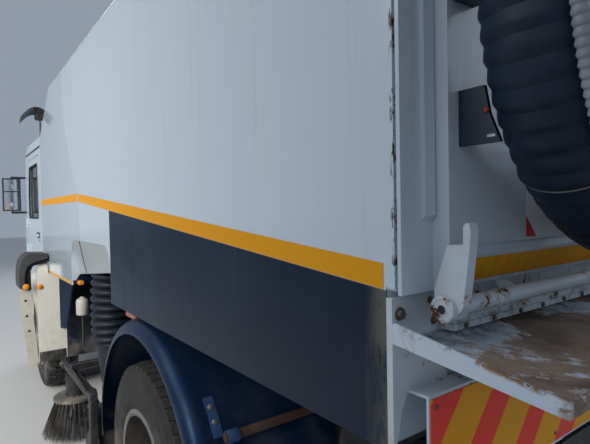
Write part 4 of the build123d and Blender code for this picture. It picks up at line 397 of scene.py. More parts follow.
def wheel_paint():
    """Dark, dusty wheels whose outer lip is worn to pale metal."""
    s = Shade("wheel_paint")
    run = s.math("MINIMUM", *[s.size(s.less(s.x, axle[0])) for axle in (REAR_AXLE, FRONT_AXLE)])
    rise = s.less(s.z, TYRE_RADIUS)
    radius = s.math("SQRT", s.add(s.times(run, run), s.times(rise, rise)))
    lip = s.ramp(radius, 0.2765, 0.2785)
    cloud = s.noise(12.0, 5.0, 0.65)
    tint = s.mix(s.ramp(cloud, 0.35, 0.7), (0.045, 0.04, 0.038), (0.11, 0.09, 0.075))
    tint = s.over(tint, RUST, s.ramp(s.noise(20.0, 6.0, 0.72), 0.58, 0.68), 0.6)
    tint = s.over(tint, (0.30, 0.28, 0.26), lip, s.ramp(cloud, 0.25, 0.5, 0.3, 0.8))
    normal = s.bump(s.noise(130.0, 4.0), 0.0012, 0.35)
    rough = s.ramp(cloud, 0.2, 0.8, 0.42, 0.68)
    return dusted(s, tint, 0.5, 1.1, rough, 0.15, normal, metal=s.times(lip, 0.6))


def dress():
    """Give every CAD node its material by the record's slot, with a few nodes set by name."""
    looks = {
        "frame_black": rough_black("frame_paint"),
        "engine_iron": rough_black("engine_cast", (0.06, 0.058, 0.055), 0.65, 1.0),
        "tank_metal": metal("tank_sheet", (0.5, 0.51, 0.52), 0.35, 0.15),
        # The rear guards' dark navy is made bluer and their specular tint blue: a painted reflection of the
        # sky in their gloss.
        "guard_black": paint("guard_gloss", (0.003, 0.013, 0.040), 0.34, 0.0, 0.3, 0.06, specks=0.5,
                             tinge=(0.30, 0.55, 1.0)),
        # Painted sunlight: the mud panels' cream is their white brightened and warmed.
        "guard_white": paint("guard_white", SUNLIT_OFF_WHITE, 0.3, 0.2, 0.6, 0.35, 0.6, dark=inboard),
        # The canopy's niche darkens to navy: painted shade.
        "canopy_white": paint("canopy_gloss", WHITE_WITH_BLUE_SHADE, 0.08, 0.9, 0.6, 0.2, dark=niche),
        "bumper_grey": moulded("bumper_grain", (0.07, 0.072, 0.075), 0.5),
        "lamp_clear": lens("lamp_clear", (0.72, 0.76, 0.80)),
        "lamp_red": lens("lamp_red", (0.42, 0.012, 0.012)),
        "lamp_amber": lens("lamp_amber", AMBER),
        "hose_rubber": rubber("hose_rubber", HOSE_BLUE, 0.5, 0.5),
        "cab_white": paint("cab_paint", WHITE_WITH_BLUE_SHADE, 0.30, 0.2, 0.6),
        "glass": glass("tinted_glass"),
        "seat_fabric": rubber("seat_cloth", (0.03, 0.032, 0.04), 0.9, 0.0),
        "dash_plastic": moulded("dash_grain", (0.045, 0.046, 0.05), 0.6, 0.0),
        "trim_black": moulded("trim_grain", (0.02, 0.021, 0.023), 0.45),
        "body_white": hopper_paint(),
        "board_stripes": stripes("board_sheet", YELLOW, TAPE_RED, 0.24, 0.853, 0.118, 0.2, 0.56),
        "tray_rust": tray_paint(),
        "tank_plastic": moulded("tank_plastic", (0.6, 0.61, 0.6), 0.4),
        "cylinder_black": rough_black("cylinder_paint", rough=0.35),
        "rod_chrome": metal("rod_chrome", (0.7, 0.71, 0.72), 0.12, 0.0),
        "tyre": rubber("tyre_rubber", (0.016, 0.0155, 0.016), 0.75, 0.55),
        "wheel_paint": wheel_paint(),
        "bristles": rubber("bristle_wire", SOFT_BLACK, 0.7, 0.6),
    }
    by_node = {
        "hopper_rear_frame": old_white("steel_white"),
        "hose_brackets": paint("bracket_navy", NAVY, 0.4, 0.05, 0.1, 0.1),
        "latch_shaft": old_white("shaft_white", 1.3, 1.615),
        # The door is the body's white; its darker, bluer grey is painted shade on its rear face.
        "rear_door": paint("door_paint_in_shade", (0.50, 0.57, 0.65), 0.25, 0.25, 0.3, 0.3),
    }
    for entry in frame["record"]["subparts"]:
        material = by_node.get(entry["node"]) or looks[entry["material_slot"]]
        for slot in frame["nodes"][entry["node"]].material_slots:
            slot.material = material
    return looks


LOOKS = dress()


def polar(radius, turn):
    return radius * math.cos(turn), radius * math.sin(turn)


def skin(rings, sides, closed=False):
    """Quads between rings of as many corners each, and from the last to the first where closed."""
    faces = []
    for ring in range(rings if closed else rings - 1):
        a, b = ring * sides, (ring + 1) % rings * sides
        for step in range(sides):
            follow = (step + 1) % sides
            faces.append((a + step, a + follow, b + follow, b + step))
    return faces


def corner_signs(axis, side, other, across, third):
    """Signs of a block's corner: side on one axis, across on another and third on the last."""
    signs = [third, third, third]
    signs[axis] = side
    signs[other] = across
    return tuple(signs)


class Form:
    """A mesh in the making, from chamfered blocks, lathed rings, swept tubes and flat plates."""

    def __init__(self):
        self.corners = []
        self.faces = []
        self.finish = []

    def put(self, corners, faces, place=None, number=0):
        """Take in corners and faces, with their material's number."""
        start = len(self.corners)
        if place is not None:
            corners = [place @ Vector(one) for one in corners]
        self.corners.extend(tuple(one) for one in corners)
        self.faces.extend(tuple(start + index for index in face) for face in faces)
        self.finish.extend([number] * len(faces))
        return self

    def join(self, other, flip=1):
        """Take in another form, mirrored across the vehicle where flip is -1."""
        finish = list(other.finish)
        self.put([(x, flip * y, z) for x, y, z in other.corners], list(other.faces))
        self.finish[-len(finish):] = finish
        return self

    def mirrored(self):
        """The form with everything so far once more on the other side of the vehicle."""
        return self.join(self, -1)

    def block(self, low, high, edge=0.002, number=0):
        """A block between two corners with its edges taken off."""
        middle = (Vector(low) + Vector(high)) / 2
        half = (Vector(high) - Vector(low)) / 2
        cut = min(edge, 0.45 * min(half))
        signs = [(sx, sy, sz) for sx in (-1, 1) for sy in (-1, 1) for sz in (-1, 1)]
        # Every corner becomes a triangle, and its point for an axis keeps the full reach along that axis.
        where = {}
        corners = []
        for sign in signs:
            for axis in range(3):
                where[sign, axis] = len(corners)
                reach = [half[i] - (0.0 if i == axis else cut) for i in range(3)]
                corners.append([middle[i] + sign[i] * reach[i] for i in range(3)])
        faces = []
        for axis, side in [(axis, side) for axis in range(3) for side in (-1, 1)]:
            others = [i for i in range(3) if i != axis]
            faces.append([where[corner_signs(axis, side, others[0], *turn), axis] for turn in ROUND])
            for other, across in [(other, across) for other in others if other > axis for across in (-1, 1)]:
                a, b = [corner_signs(axis, side, other, across, third) for third in (-1, 1)]
                faces.append([where[a, axis], where[b, axis], where[b, other], where[a, other]])
        faces += [[where[sign, axis] for axis in range(3)] for sign in signs]
        return self.put(corners, faces, None, number)

    def lathe(self, profile, place, steps=32, number=0, closed=False):
        """Rings of (radius, height) about the placed Z axis."""
        corners = [(*polar(max(radius, 1e-5), math.tau * step / steps), height)
                   for radius, height in profile for step in range(steps)]
        faces = skin(len(profile), steps, closed)
        if not closed:
            faces += [tuple(range(ring * steps, (ring + 1) * steps))
                      for ring in (0, len(profile) - 1) if profile[ring][0] > 1e-4]
        return self.put(corners, faces, place, number)

    def tube(self, points, radius, sides=10, number=0, caps=True):
        """A tube along points; radius is one number or one for each point."""
        points = [Vector(one) for one in points]
        last = len(points) - 1
        radii = radius if isinstance(radius, list) else [radius] * len(points)
        corners = []
        side = None
        for index, point in enumerate(points):
            ahead = (points[min(index + 1, last)] - points[max(index - 1, 0)]).normalized()
            if side is None:
                side = ahead.orthogonal().normalized()
            side = (side - ahead * side.dot(ahead)).normalized()
            other = ahead.cross(side)
            for step in range(sides):
                u, v = polar(1.0, math.tau * step / sides)
                corners.append(point + (side * u + other * v) * radii[index])
        faces = skin(len(points), sides)
        if caps:
            faces += [tuple(range(sides)), tuple(range(last * sides, (last + 1) * sides))]
        return self.put(corners, faces, None, number)

    def slab(self, one, other, place=None, number=0):
        """A solid between two outlines of as many corners."""
        count = len(one)
        caps = [tuple(range(count)), tuple(range(count, 2 * count))]
        return self.put(one + other, caps + skin(2, count), place, number)

    def plate(self, outline, place, thick, number=0):
        """A flat plate from its outline in the placed XY plane, thick along Z."""
        low, high = [[(u, v, w) for u, v in outline] for w in (0.0, thick)]
        return self.slab(low, high, place, number)

    def bolt(self, spot, normal, size, number=0):
        """A hexagon head on its washer."""
        washer = [(1.05, 0.0), (1.05, 0.14), (0.98, 0.2), (0.0, 0.2)]
        head = [(0.86, 0.18), (0.86, 0.62), (0.72, 0.76), (0.0, 0.78)]
        for profile, steps in ((washer, 18), (head, 6)):
            self.lathe([(size * r, size * h) for r, h in profile], facing(spot, normal), steps, number)


def facing(spot, normal):
    """A place at spot whose Z points along normal."""
    return Matrix.Translation(spot) @ Vector(normal).to_track_quat("Z", "Y").to_matrix().to_4x4()


def across(x):
    """A place for outlines of (y, z) that stand across the vehicle at x."""
    return Matrix(((0, 0, 1, x), (1, 0, 0, 0), (0, 1, 0, 0), (0, 0, 0, 1)))


def lengthwise(y):
    """A place for outlines of (metres ahead of XB, z) that stand along the vehicle at y."""
    return Matrix(((1, 0, 0, XB), (0, 0, 1, y), (0, 1, 0, 0), (0, 0, 0, 1)))


def make(name, form, materials, body, *nodes, angle=38.0):
    """Turn a form into an object that rides on a body, and stands for the CAD nodes named, if any."""
    mesh = bpy.data.meshes.new(name)
    mesh.from_pydata(form.corners, [], form.faces)
    for one in materials if isinstance(materials, list) else [materials]:
        mesh.materials.append(one)
    mesh.polygons.foreach_set("material_index", form.finish)
    work = bmesh.new()
    work.from_mesh(mesh)
    bmesh.ops.remove_doubles(work, verts=work.verts, dist=1e-5)
    bmesh.ops.recalc_face_normals(work, faces=work.faces)
    work.to_mesh(mesh)
    work.free()
    mesh.shade_smooth()
    mesh.set_sharp_from_angle(angle=math.radians(angle))
    piece = bpy.data.objects.new(name, mesh)
    bpy.context.collection.objects.link(piece)
    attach(piece, body)
    if nodes:
        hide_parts(*nodes)


def bend(a, corner, b, radius, steps):
    """Points from a round the corner to b with a rounded turn."""
    a, corner, b = Vector(a), Vector(corner), Vector(b)
    before = corner + (a - corner).normalized() * radius
    after = corner + (b - corner).normalized() * radius
    shares = [step / steps for step in range(steps + 1)]
    return [before.lerp(corner, t).lerp(corner.lerp(after, t), t) for t in shares]


def bead(form, corners, radius, turn, steps=5):
    """A round bead along a closed loop of corners, each with a rounded turn."""
    path = []
    for before, corner, after in zip(corners[-1:] + corners, corners, corners[1:] + corners[:1]):
        path += bend(before, corner, after, turn, steps)
    form.tube(path + path[:1], radius, 8, caps=False)


# Reflective tapes and boards

TAPE = stripes("tape_sheet", YELLOW, (0.72, 0.31, 0.004), 0.05, 0.0, 0.0, 0.15)
TAPE_THICK = 0.0008
TAPE_STEPS = 24
SIDE_TAPE_LENGTH = 2.882


def add_tapes():
    """Yellow tape along hopper and canopy and across the door's foot, and the door's striped boards."""
    face = HALF + TAPE_THICK
    side = Form()
    for index in range(TAPE_STEPS):
        corners = []
        for end in (index, index + 1):
            run = 0.006 + SIDE_TAPE_LENGTH * end / TAPE_STEPS
            low = STRIPE_LOW_Z + STRIPE_SLOPE * run
            corners += [(XB + run, y, z) for y in (HALF, face) for z in (low, low + STRIPE_HEIGHT)]
        side.put(corners, [(2, 3, 7, 6), (3, 1, 5, 7), (2, 0, 4, 6)])
    make("side_tapes", side.mirrored(), TAPE, "hopper")
    front = Form()
    start = XB + 2.922
    end = XB + 4.5
    level = STRIPE_LOW_Z + STRIPE_SLOPE * 2.9
    front.block((start, HALF, level), (end, face, level + STRIPE_HEIGHT), 0.0002)
    front.block((start + 0.33, HALF, 1.266), (end - 0.1, face, 1.282), 0.0002)
    make("canopy_tapes", front.mirrored(), TAPE, "chassis")
    foot = Form()
    a = Vector((XB - 0.0818, 0, 1.6945))
    b = Vector((XB - 0.0494, 0, 1.6285))
    out = Vector((b.z - a.z, 0, b.x - a.x)).normalized()
    for y0, y1 in ((-1.06, -0.53), (-0.528, 0.0), (0.002, 0.53), (0.532, 1.06)):
        corners = []
        for y in (y0, y1):
            for point in (b.lerp(a, 0.03), b.lerp(a, 0.86)):
                corners.append((point.x, y, point.z))
                corners.append((point.x + out.x * TAPE_THICK, y, point.z + out.z * TAPE_THICK))
        foot.put(corners, [(1, 3, 7, 5), (0, 1, 5, 4), (3, 2, 6, 7), (0, 2, 3, 1), (4, 5, 7, 6)])
    make("door_tape", foot, TAPE, "rear_door")
    board = Form()
    for y0, y1 in ((0.23, 0.794), (-0.794, -0.23)):
        board.block((XB - 0.085 - 0.002, y0, 1.7235), (XB - 0.085, y1, 2.005), 0.0006)
    sheet = stripes("door_sheet", (0.50, 0.02, 0.03), (0.62, 0.64, 0.66), 0.28, -0.89, 0.854, 0.3)
    make("door_boards", board, sheet, "rear_door")


# Wheels

CROWN_RADIUS = TYRE_RADIUS - 0.013
TREAD_PITCHES = 52
# Columns of the tread: start, end, shift of the blocks in pitches, and skew.
TREAD_COLUMNS = ((0.020, 0.078, 0.0, 0.15), (0.086, 0.136, 0.35, -0.12), (0.144, 0.199, 0.8, 0.12),
                 (0.207, 0.265, 0.25, -0.15))
# Half of the carcass, from its bead over the sidewall to the crown: radius, and depth from the outer face.
CARCASS = [
    (0.281, 0.013), (0.292, 0.0125), (0.300, 0.011), (0.303, 0.0085), (0.309, 0.0085), (0.312, 0.0065),
    (0.345, 0.002), (0.352, 0.0005), (0.358, 0.0015), (0.392, 0.0005), (0.396, -0.0008), (0.401, 0.0005),
    (0.430, 0.0012), (0.452, 0.0025), (0.455, 0.0012), (0.461, 0.0014), (0.465, 0.0045), (0.485, 0.009),
    (0.4985, 0.020), (0.5045, 0.033), (CROWN_RADIUS, 0.046),
]
NUTS = 10
NUT_CIRCLE = 0.1675
HAND_HOLE_CIRCLE = 0.205


def tyre_form(outer_y, side, axle):
    """One tyre: lathed carcass with sidewall rings and separate tread blocks."""
    form = Form()
    outward = Matrix.Rotation(math.radians(90 * side), 4, "X")
    place = Matrix.Translation((axle[0], side * outer_y, axle[1])) @ outward
    inner = TYRE_WIDTH - 0.043
    profile = CARCASS + [(r, TYRE_WIDTH - h) for r, h in reversed(CARCASS)]
    profile += [(0.281, inner), (0.310, inner), (0.310, 0.043), (0.281, 0.043)]
    form.lathe(profile, place, 96, closed=True)
    for h0, h1, shift, skew in TREAD_COLUMNS:
        # The outermost columns are shorter round the tyre, and lower at the shoulder.
        shoulder = h0 if h0 < 0.03 else h1 if h1 > 0.26 else None
        half_turn = math.tau * (0.385 if shoulder is None else 0.34) / TREAD_PITCHES
        for index in range(TREAD_PITCHES):
            centre = math.tau * (index + shift) / TREAD_PITCHES
            corners = []
            for top in (False, True):
                for h, lean in ((h0, -skew), (h1, skew)):
                    if top:
                        radius = TYRE_RADIUS - (0.011 if h == shoulder else 0.0)
                    else:
                        radius = CROWN_RADIUS - (0.018 if h == shoulder else 0.003)
                    for turn in (-half_turn, half_turn):
                        angle = centre + turn * (0.94 if top else 1.0) + lean * math.tau / TREAD_PITCHES
                        corners.append((*polar(radius, angle), h))
            form.put(corners, [(4, 5, 7, 6), (0, 1, 5, 4), (2, 6, 7, 3), (0, 4, 6, 2), (1, 3, 7, 5)], place)
    return form


def add_tyres():
    for side, word in SIDES:
        single = tyre_form(1.2, side, FRONT_AXLE)
        twins = tyre_form(1.21, side, REAR_AXLE).join(tyre_form(1.21 - 0.335, side, REAR_AXLE))
        make("tyre_front_" + word, single, LOOKS["tyre"], "front_wheel_" + word,
             "front_tyre_" + word, angle=30.0)
        make("tyres_rear_" + word, twins, LOOKS["tyre"], "rear_wheels_" + word,
             "rear_tyres_" + word, angle=30.0)


def add_wheel_details():
    """Nuts with their washers, hub rings, and dark discs of painted shade in the hand holes round each disc.
    """
    steel = metal("nut_steel", (0.34, 0.33, 0.32), 0.45, 0.8)
    # The hand holes are dark discs on the wheel's face: painted shade in place of the holes.
    dark = rough_black("hand_hole_shade", (0.006, 0.006, 0.007), 0.8, 0.2)
    hole = [(0.019, 0.0), (0.019, 0.0012), (0.016, 0.0016), (0.0, 0.0008)]
    hub = [(0.119, -0.03), (0.119, 0.004), (0.112, 0.012), (0.085, 0.014), (0.083, 0.020), (0.045, 0.021),
           (0.042, 0.026), (0.0, 0.026)]
    # Body, axle, the disc's outer face, and how far the hub's face stands out of it.
    rows = (("front_wheel_", FRONT_AXLE, 1.140 + 0.007, 0.060),
            ("rear_wheels_", REAR_AXLE, 0.900 + 0.013, 0.152))
    for side, word in SIDES:
        for name, axle, face, reach in rows:
            form = Form()
            for circle, share, y in ((NUT_CIRCLE, 0, face), (HAND_HOLE_CIRCLE, 0.5, face - 0.0004)):
                for index in range(NUTS):
                    run, rise = polar(circle, math.tau * (index + share) / NUTS)
                    spot = (axle[0] + run, side * y, axle[1] + rise)
                    if share:
                        form.lathe(hole, facing(spot, (0, side, 0)), 20, 1)
                    else:
                        form.bolt(spot, (0, side, 0), 0.0205)
            form.lathe(hub, facing((axle[0], side * (face + reach), axle[1]), (0, side, 0)), 40)
            make(name + "nuts_" + word, form, [steel, dark], name + word)


# Brushes and hoses

BRUSH_X = XB + 3.5
BRUSH_Y = 1.14
BRUSH_PLATE_RADIUS = 0.165
BRUSH_RADIUS = 0.255
BROOM_X = XB + 2.9
BROOM_Z = 0.225
BROOM_ROWS = 64


def strand(form, foot, tip, width):
    """One bristle: a thin three-sided spike from foot to tip."""
    foot, tip = Vector(foot), Vector(tip)
    ahead = (tip - foot).normalized()
    side = ahead.orthogonal().normalized() * width
    other = ahead.cross(side)
    ring = [foot + side, foot - side * 0.5 + other * 0.87, foot - side * 0.5 - other * 0.87]
    ring += [tip + (one - foot) * 0.45 for one in ring]
    form.put(ring, [(0, 1, 4, 3), (1, 2, 5, 4), (2, 0, 3, 5), (3, 4, 5)])


def add_side_brushes():
    """Tufts of steel wire spread from a ribbed plate, in place of the closed solids."""
    wire = rubber("brush_wire", (0.014, 0.012, 0.012), 0.6, 0.3)
    plate_look = rough_black("brush_plate", (0.05, 0.048, 0.046), 0.5, 0.9)
    edge = BRUSH_PLATE_RADIUS
    plate = [(0.0, 0.330), (0.050, 0.330), (0.057, 0.326), (0.10, 0.3245), (edge - 0.012, 0.3245),
             (edge - 0.002, 0.320), (edge, 0.312), (edge, 0.299), (edge - 0.008, 0.296), (0.0, 0.296)]
    stub = [(0.0, 0.369), (0.0149, 0.369), (0.0149, 0.328), (0.0, 0.328)]
    for side, word in SIDES:
        dice = random.Random(11 + side)
        form = Form()
        centre = Vector((BRUSH_X, side * BRUSH_Y, 0.0))
        for ring, count in enumerate((24, 28, 32)):
            r0 = BRUSH_PLATE_RADIUS - 0.064 + 0.023 * ring
            r1 = BRUSH_RADIUS - 0.058 + 0.025 * ring
            for index in range(count):
                turn = math.tau * (index + 0.37 * ring) / count
                for _ in range(12):
                    spread = dice.gauss(0.0, 0.052)
                    foot = Vector((*polar(r0, turn + dice.uniform(-0.03, 0.03)), 0.300))
                    reach = r1 + dice.uniform(-0.03, 0.006)
                    tip = Vector((*polar(reach, turn + spread), 0.026 + dice.uniform(0.0, 0.014)))
                    strand(form, centre + foot, centre + tip, 0.0021)
        form.lathe(plate, Matrix.Translation(centre), 56, 1)
        form.lathe(stub, Matrix.Translation(centre), 20, 1)
        for index in range(6):
            form.bolt(centre + Vector((*polar(0.085, math.tau * index / 6), 0.3245)), UP, 0.011, 1)
        name = "side_brush_" + word
        make("brush_" + word, form, [wire, plate_look], name, name, angle=40.0)


def add_wide_broom():
    """Bristles in a spiral on the cross broom's core."""
    dice = random.Random(5)
    form = Form()
    core = Matrix.Translation((BROOM_X, -0.58, BROOM_Z)) @ Matrix.Rotation(math.radians(-90), 4, "X")
    form.lathe([(0.0, 0.0), (0.09, 0.0), (0.09, 1.16), (0.0, 1.16)], core, 28, 1)
    for side in (1, -1):
        stub = facing((BROOM_X, side * 0.579, BROOM_Z), (0, side, 0))
        form.lathe([(0.0249, 0.0), (0.0249, 0.056), (0.0, 0.056)], stub, 20, 1)
    for row in range(BROOM_ROWS):
        y = -0.568 + 1.136 * row / (BROOM_ROWS - 1)
        for index in range(26):
            turn = math.tau * index / 26 + 0.11 * row
            foot_x, foot_z = polar(0.088, turn)
            for _ in range(2):
                spread = dice.gauss(0.0, 0.05)
                tip_x, tip_z = polar(0.199 - dice.uniform(0.0, 0.010), turn + spread)
                tip_y = max(-0.575, min(0.575, y + dice.gauss(0.0, 0.007)))
                strand(form, (BROOM_X + foot_x, y, BROOM_Z + foot_z),
                       (BROOM_X + tip_x, tip_y, BROOM_Z + tip_z), 0.0026)
    wire = rubber("broom_fibre", (0.03, 0.03, 0.033), 0.7, 0.7)
    make("broom", form, [wire, rough_black("broom_core")], "wide_broom", "wide_broom", angle=40.0)


def wander_path():
    """Centre line of the stowed hose, as in the CAD."""
    x = XB - 0.260
    top, low, foot = 2.740, 2.270, 2.220
    port_y, out_y, in_y = 0.960, 1.059, 0.179
    turn = 0.150
    pull = 0.45 * (top - turn - low)
    path = [(XB - 0.0853, port_y, top), (x + turn, port_y, top)]
    for step in range(1, 15):
        a = math.pi / 2 * step / 14
        path.append((x + turn - turn * math.sin(a), port_y, top - turn + turn * math.cos(a)))
    p0, p1 = Vector((x, port_y, top - turn)), Vector((x, port_y, top - turn - pull))
    p2, p3 = Vector((x, out_y, low + pull)), Vector((x, out_y, low))
    for step in range(1, 19):
        t = step / 18
        path.append(p0 * (1 - t) ** 3 + p1 * 3 * t * (1 - t) ** 2 + p2 * 3 * t * t * (1 - t) + p3 * t ** 3)
    path.append((x, out_y, foot))
    middle, radius = (out_y + in_y) / 2, (out_y - in_y) / 2
    for step in range(1, 73):
        u, v = polar(radius, math.pi * step / 72)
        path.append((x, middle + u, foot - v))
    path.append((x, in_y, 2.415))
    return [Vector(point) for point in path]


def along(path, spacing):
    """Points at even spacing along a path."""
    out = [path[0].copy()]
    left = spacing
    for a, b in zip(path, path[1:]):
        length = (b - a).length
        while length >= left:
            a = a.lerp(b, left / length)
            length = (b - a).length
            out.append(a.copy())
            left = spacing
        left -= length
    return out


def ribbed(path, pitch, low, high, sides):
    """A hose whose wall steps up slowly and drops back at every pitch."""
    fine = along(path, pitch / 6)
    cycle = (0.0, 0.28, 0.62, 0.9, 1.0, 0.55)
    radii = [low + (high - low) * cycle[index % 6] for index in range(len(fine))]
    return Form().tube(fine, radii, sides)


def add_wander_hose():
    """The stowed suction hose with its ribs, and the wires that tie it."""
    look = rubber("wander_rubber", HOSE_BLUE, 0.42, 0.1, 0.3)
    path = wander_path()
    make("wander", ribbed(path, 0.036, 0.1095, 0.1145, 64), look, "rear_door", "wander_hose", angle=28.0)
    wire = Form()
    fine = along(path, 0.02)
    for spot in (14, 50, 66, 92):
        place = facing(fine[spot], (fine[spot + 1] - fine[spot - 1]).normalized())
        ring = [place @ Vector((*polar(0.1155, math.tau * step / 48), 0)) for step in range(49)]
        wire.tube(ring, 0.0022, 6)
    make("hose_ties", wire, metal("tie_wire", (0.16, 0.16, 0.17), 0.5, 0.4), "rear_door")


def add_suction_hoses():
    """Soft bellows from the nozzles' cuffs to the hopper's ports."""
    form = Form()
    pitch = 0.052
    sleeve_top = 0.900
    low, high = 0.6203, 1.602
    x = XB + 2.67
    cycle = (0.0, 0.42, 0.78, 0.96, 1.0, 0.96, 0.78, 0.42)
    for side in (1, -1):
        y = side * 1.0
        path = []
        for t in [step / 40 for step in range(41)]:
            swell = math.sin(math.pi * t)
            path.append(Vector((x + 0.016 * swell, y + side * 0.034 * swell, low + (high - low) * t)))
        fine = along(path, pitch / 8)
        radii = []
        for index, point in enumerate(fine):
            ease = min(1.0, max(0.0, point.z - sleeve_top) / 0.04, (high - point.z) / 0.04)
            radii.append(0.122 + max(0.0, ease) * 0.028 * cycle[index % 8])
        form.tube(fine, radii, 48)
        for z in (low + 0.012, sleeve_top - 0.02, high - 0.03):
            form.lathe([(0.122, 0.0), (0.1275, 0.0), (0.1275, 0.016), (0.122, 0.016)],
                       Matrix.Translation((x, y, z)), 40, 1, closed=True)
    looks = [rubber("bellows_rubber", (0.008, 0.012, 0.022), 0.45, 0.3, 0.3), metal("clamp_steel")]
    make("bellows", form, looks, "chassis", "suction_hoses", angle=50.0)


# Rear end

SHAFT_X = XB - 0.095
SHAFT_Z = 1.594


def add_rear_bolts():
    """Bolts on the lower plates, the sill bars and the board, and the small faces and rims beside them."""
    form = Form()
    for y, z, size in ((1.178, 1.578, 0.0135), (1.067, 1.548, 0.009), (1.078, 1.595, 0.008)):
        form.bolt((XB - 0.0166, y, z), BACK, size)
    bar = XB - 0.0523
    for index in range(9):
        form.bolt((bar, 0.997 - 0.235 * index, 1.5325), BACK, 0.0068)
    form.bolt((bar, 1.026, 1.549), BACK, 0.0052)
    for y, z in ((1.128, 1.385), (1.128, 1.18), (0.62, 1.385), (0.62, 1.18)):
        form.lathe([(0.0055, 0.0), (0.0055, 0.0016), (0.0035, 0.003), (0.0, 0.0033)],
                   facing((XB - 0.0703, y, z), BACK), 14)
    make("rear_bolts", form.mirrored(), metal("rusty_bolts", (0.20, 0.17, 0.14), 0.6, 1.0), "hopper")
    eyes = Form()
    rim = [(0.0275, 0.0), (0.0275, 0.0016), (0.0255, 0.0028), (0.021, 0.0028), (0.0195, 0.0012),
           (0.012, 0.0012), (0.0112, 0.0026), (0.0094, 0.0026), (0.0094, 0.0)]
    collar = [(0.0186, 0.0), (0.0203, 0.002), (0.0203, 0.038), (0.0186, 0.040)]
    for side in (1, -1):
        place = facing((SHAFT_X, side * 1.1402, SHAFT_Z), (0, side, 0))
        eyes.lathe(rim, place, 36, closed=True)
        # A black disc in each rim is painted shade: the dark of the boss's bore.
        eyes.lathe([(0.0100, 0.0004), (0.0100, 0.0008), (0.0, 0.0012)], place, 24, 1)
        for y in (0.93, 0.42, -0.1):
            eyes.lathe(collar, facing((SHAFT_X, side * y - 0.02, SHAFT_Z), LEFT), 30, closed=True)
    looks = [old_white("boss_white", 1.6), rough_black("boss_bore_shade", BLACK, 0.7, 0.1)]
    make("boss_rims", eyes, looks, "rear_door")
    sill = Form()
    for y0, y1 in ((-1.040, -0.606), (-0.603, 0.603), (0.606, 1.040)):
        sill.block((XB - 0.020, y0, 1.556), (XB - 0.012, y1, 1.627), 0.0015)
    make("sill_faces", sill, old_white("sill_grey"), "hopper")
    marks = Form()
    saddle_y = 1.0652
    marks.bolt((XB - 0.150, saddle_y + 0.0003, 1.99), LEFT, 0.006)
    marks.block((XB - 0.168, saddle_y, 1.936), (XB - 0.150, saddle_y + 0.0014, 1.942), 0.0004, 1)
    make("bracket_marks", marks, [metal("mark_steel", (0.32, 0.05, 0.04), 0.5, 0.2), metal("mark_pale")],
         "rear_door")


# Cab trim

CAB_REAR = XB + 4.58
CAB_FRONT = XB + 6.21
CAB_SIDE = 1.15
DOOR_REAR = XB + 4.99
DOOR_FRONT = XB + 5.88
WINDOW_LOW = 1.76
WINDOW_TOP = 2.353


def add_door_trim():
    """Window bead, handle plate, rubbing strip and lock on each cab door."""
    look = rubber("window_bead", SOFT_BLACK, 0.6, 0.3)
    strip = moulded("door_strip", (0.03, 0.031, 0.033), 0.5)
    rear, front = DOOR_REAR + 0.102, DOOR_FRONT - 0.102
    # The window's front edge leans back above half height.
    window = [(rear, WINDOW_LOW), (front, WINDOW_LOW), (front, (WINDOW_LOW + WINDOW_TOP) / 2),
              (front - 0.09, WINDOW_TOP), (rear, WINDOW_TOP)]
    for side, word in SIDES:
        form = Form()
        bead(form, [(x, side * (CAB_SIDE - 0.002), z) for x, z in window], 0.009, 0.035)
        y0, y1 = sorted((side * (CAB_SIDE - 0.001), side * (CAB_SIDE + 0.006)))
        form.block((DOOR_REAR + 0.05, y0, 1.545), (DOOR_REAR + 0.25, y1, 1.605), 0.004, 1)
        form.block((DOOR_REAR + 0.02, y0, 1.300), (DOOR_FRONT - 0.02, y1, 1.330), 0.003, 1)
        lock = facing((DOOR_REAR + 0.075, side * (CAB_SIDE + 0.004), 1.52), (0, side, 0))
        form.lathe([(0.013, 0.0), (0.013, 0.004), (0.010, 0.006), (0.0, 0.006)], lock, 20, 2)
        make("door_trim_" + word, form, [look, strip, metal("lock_steel_" + word)], "cab_door_" + word)


def on_screen(out, y, z):
    """A point out of the windscreen's outer plane."""
    return (CAB_FRONT - 0.21 * (z - 1.58) / 0.89 + out, y, z)


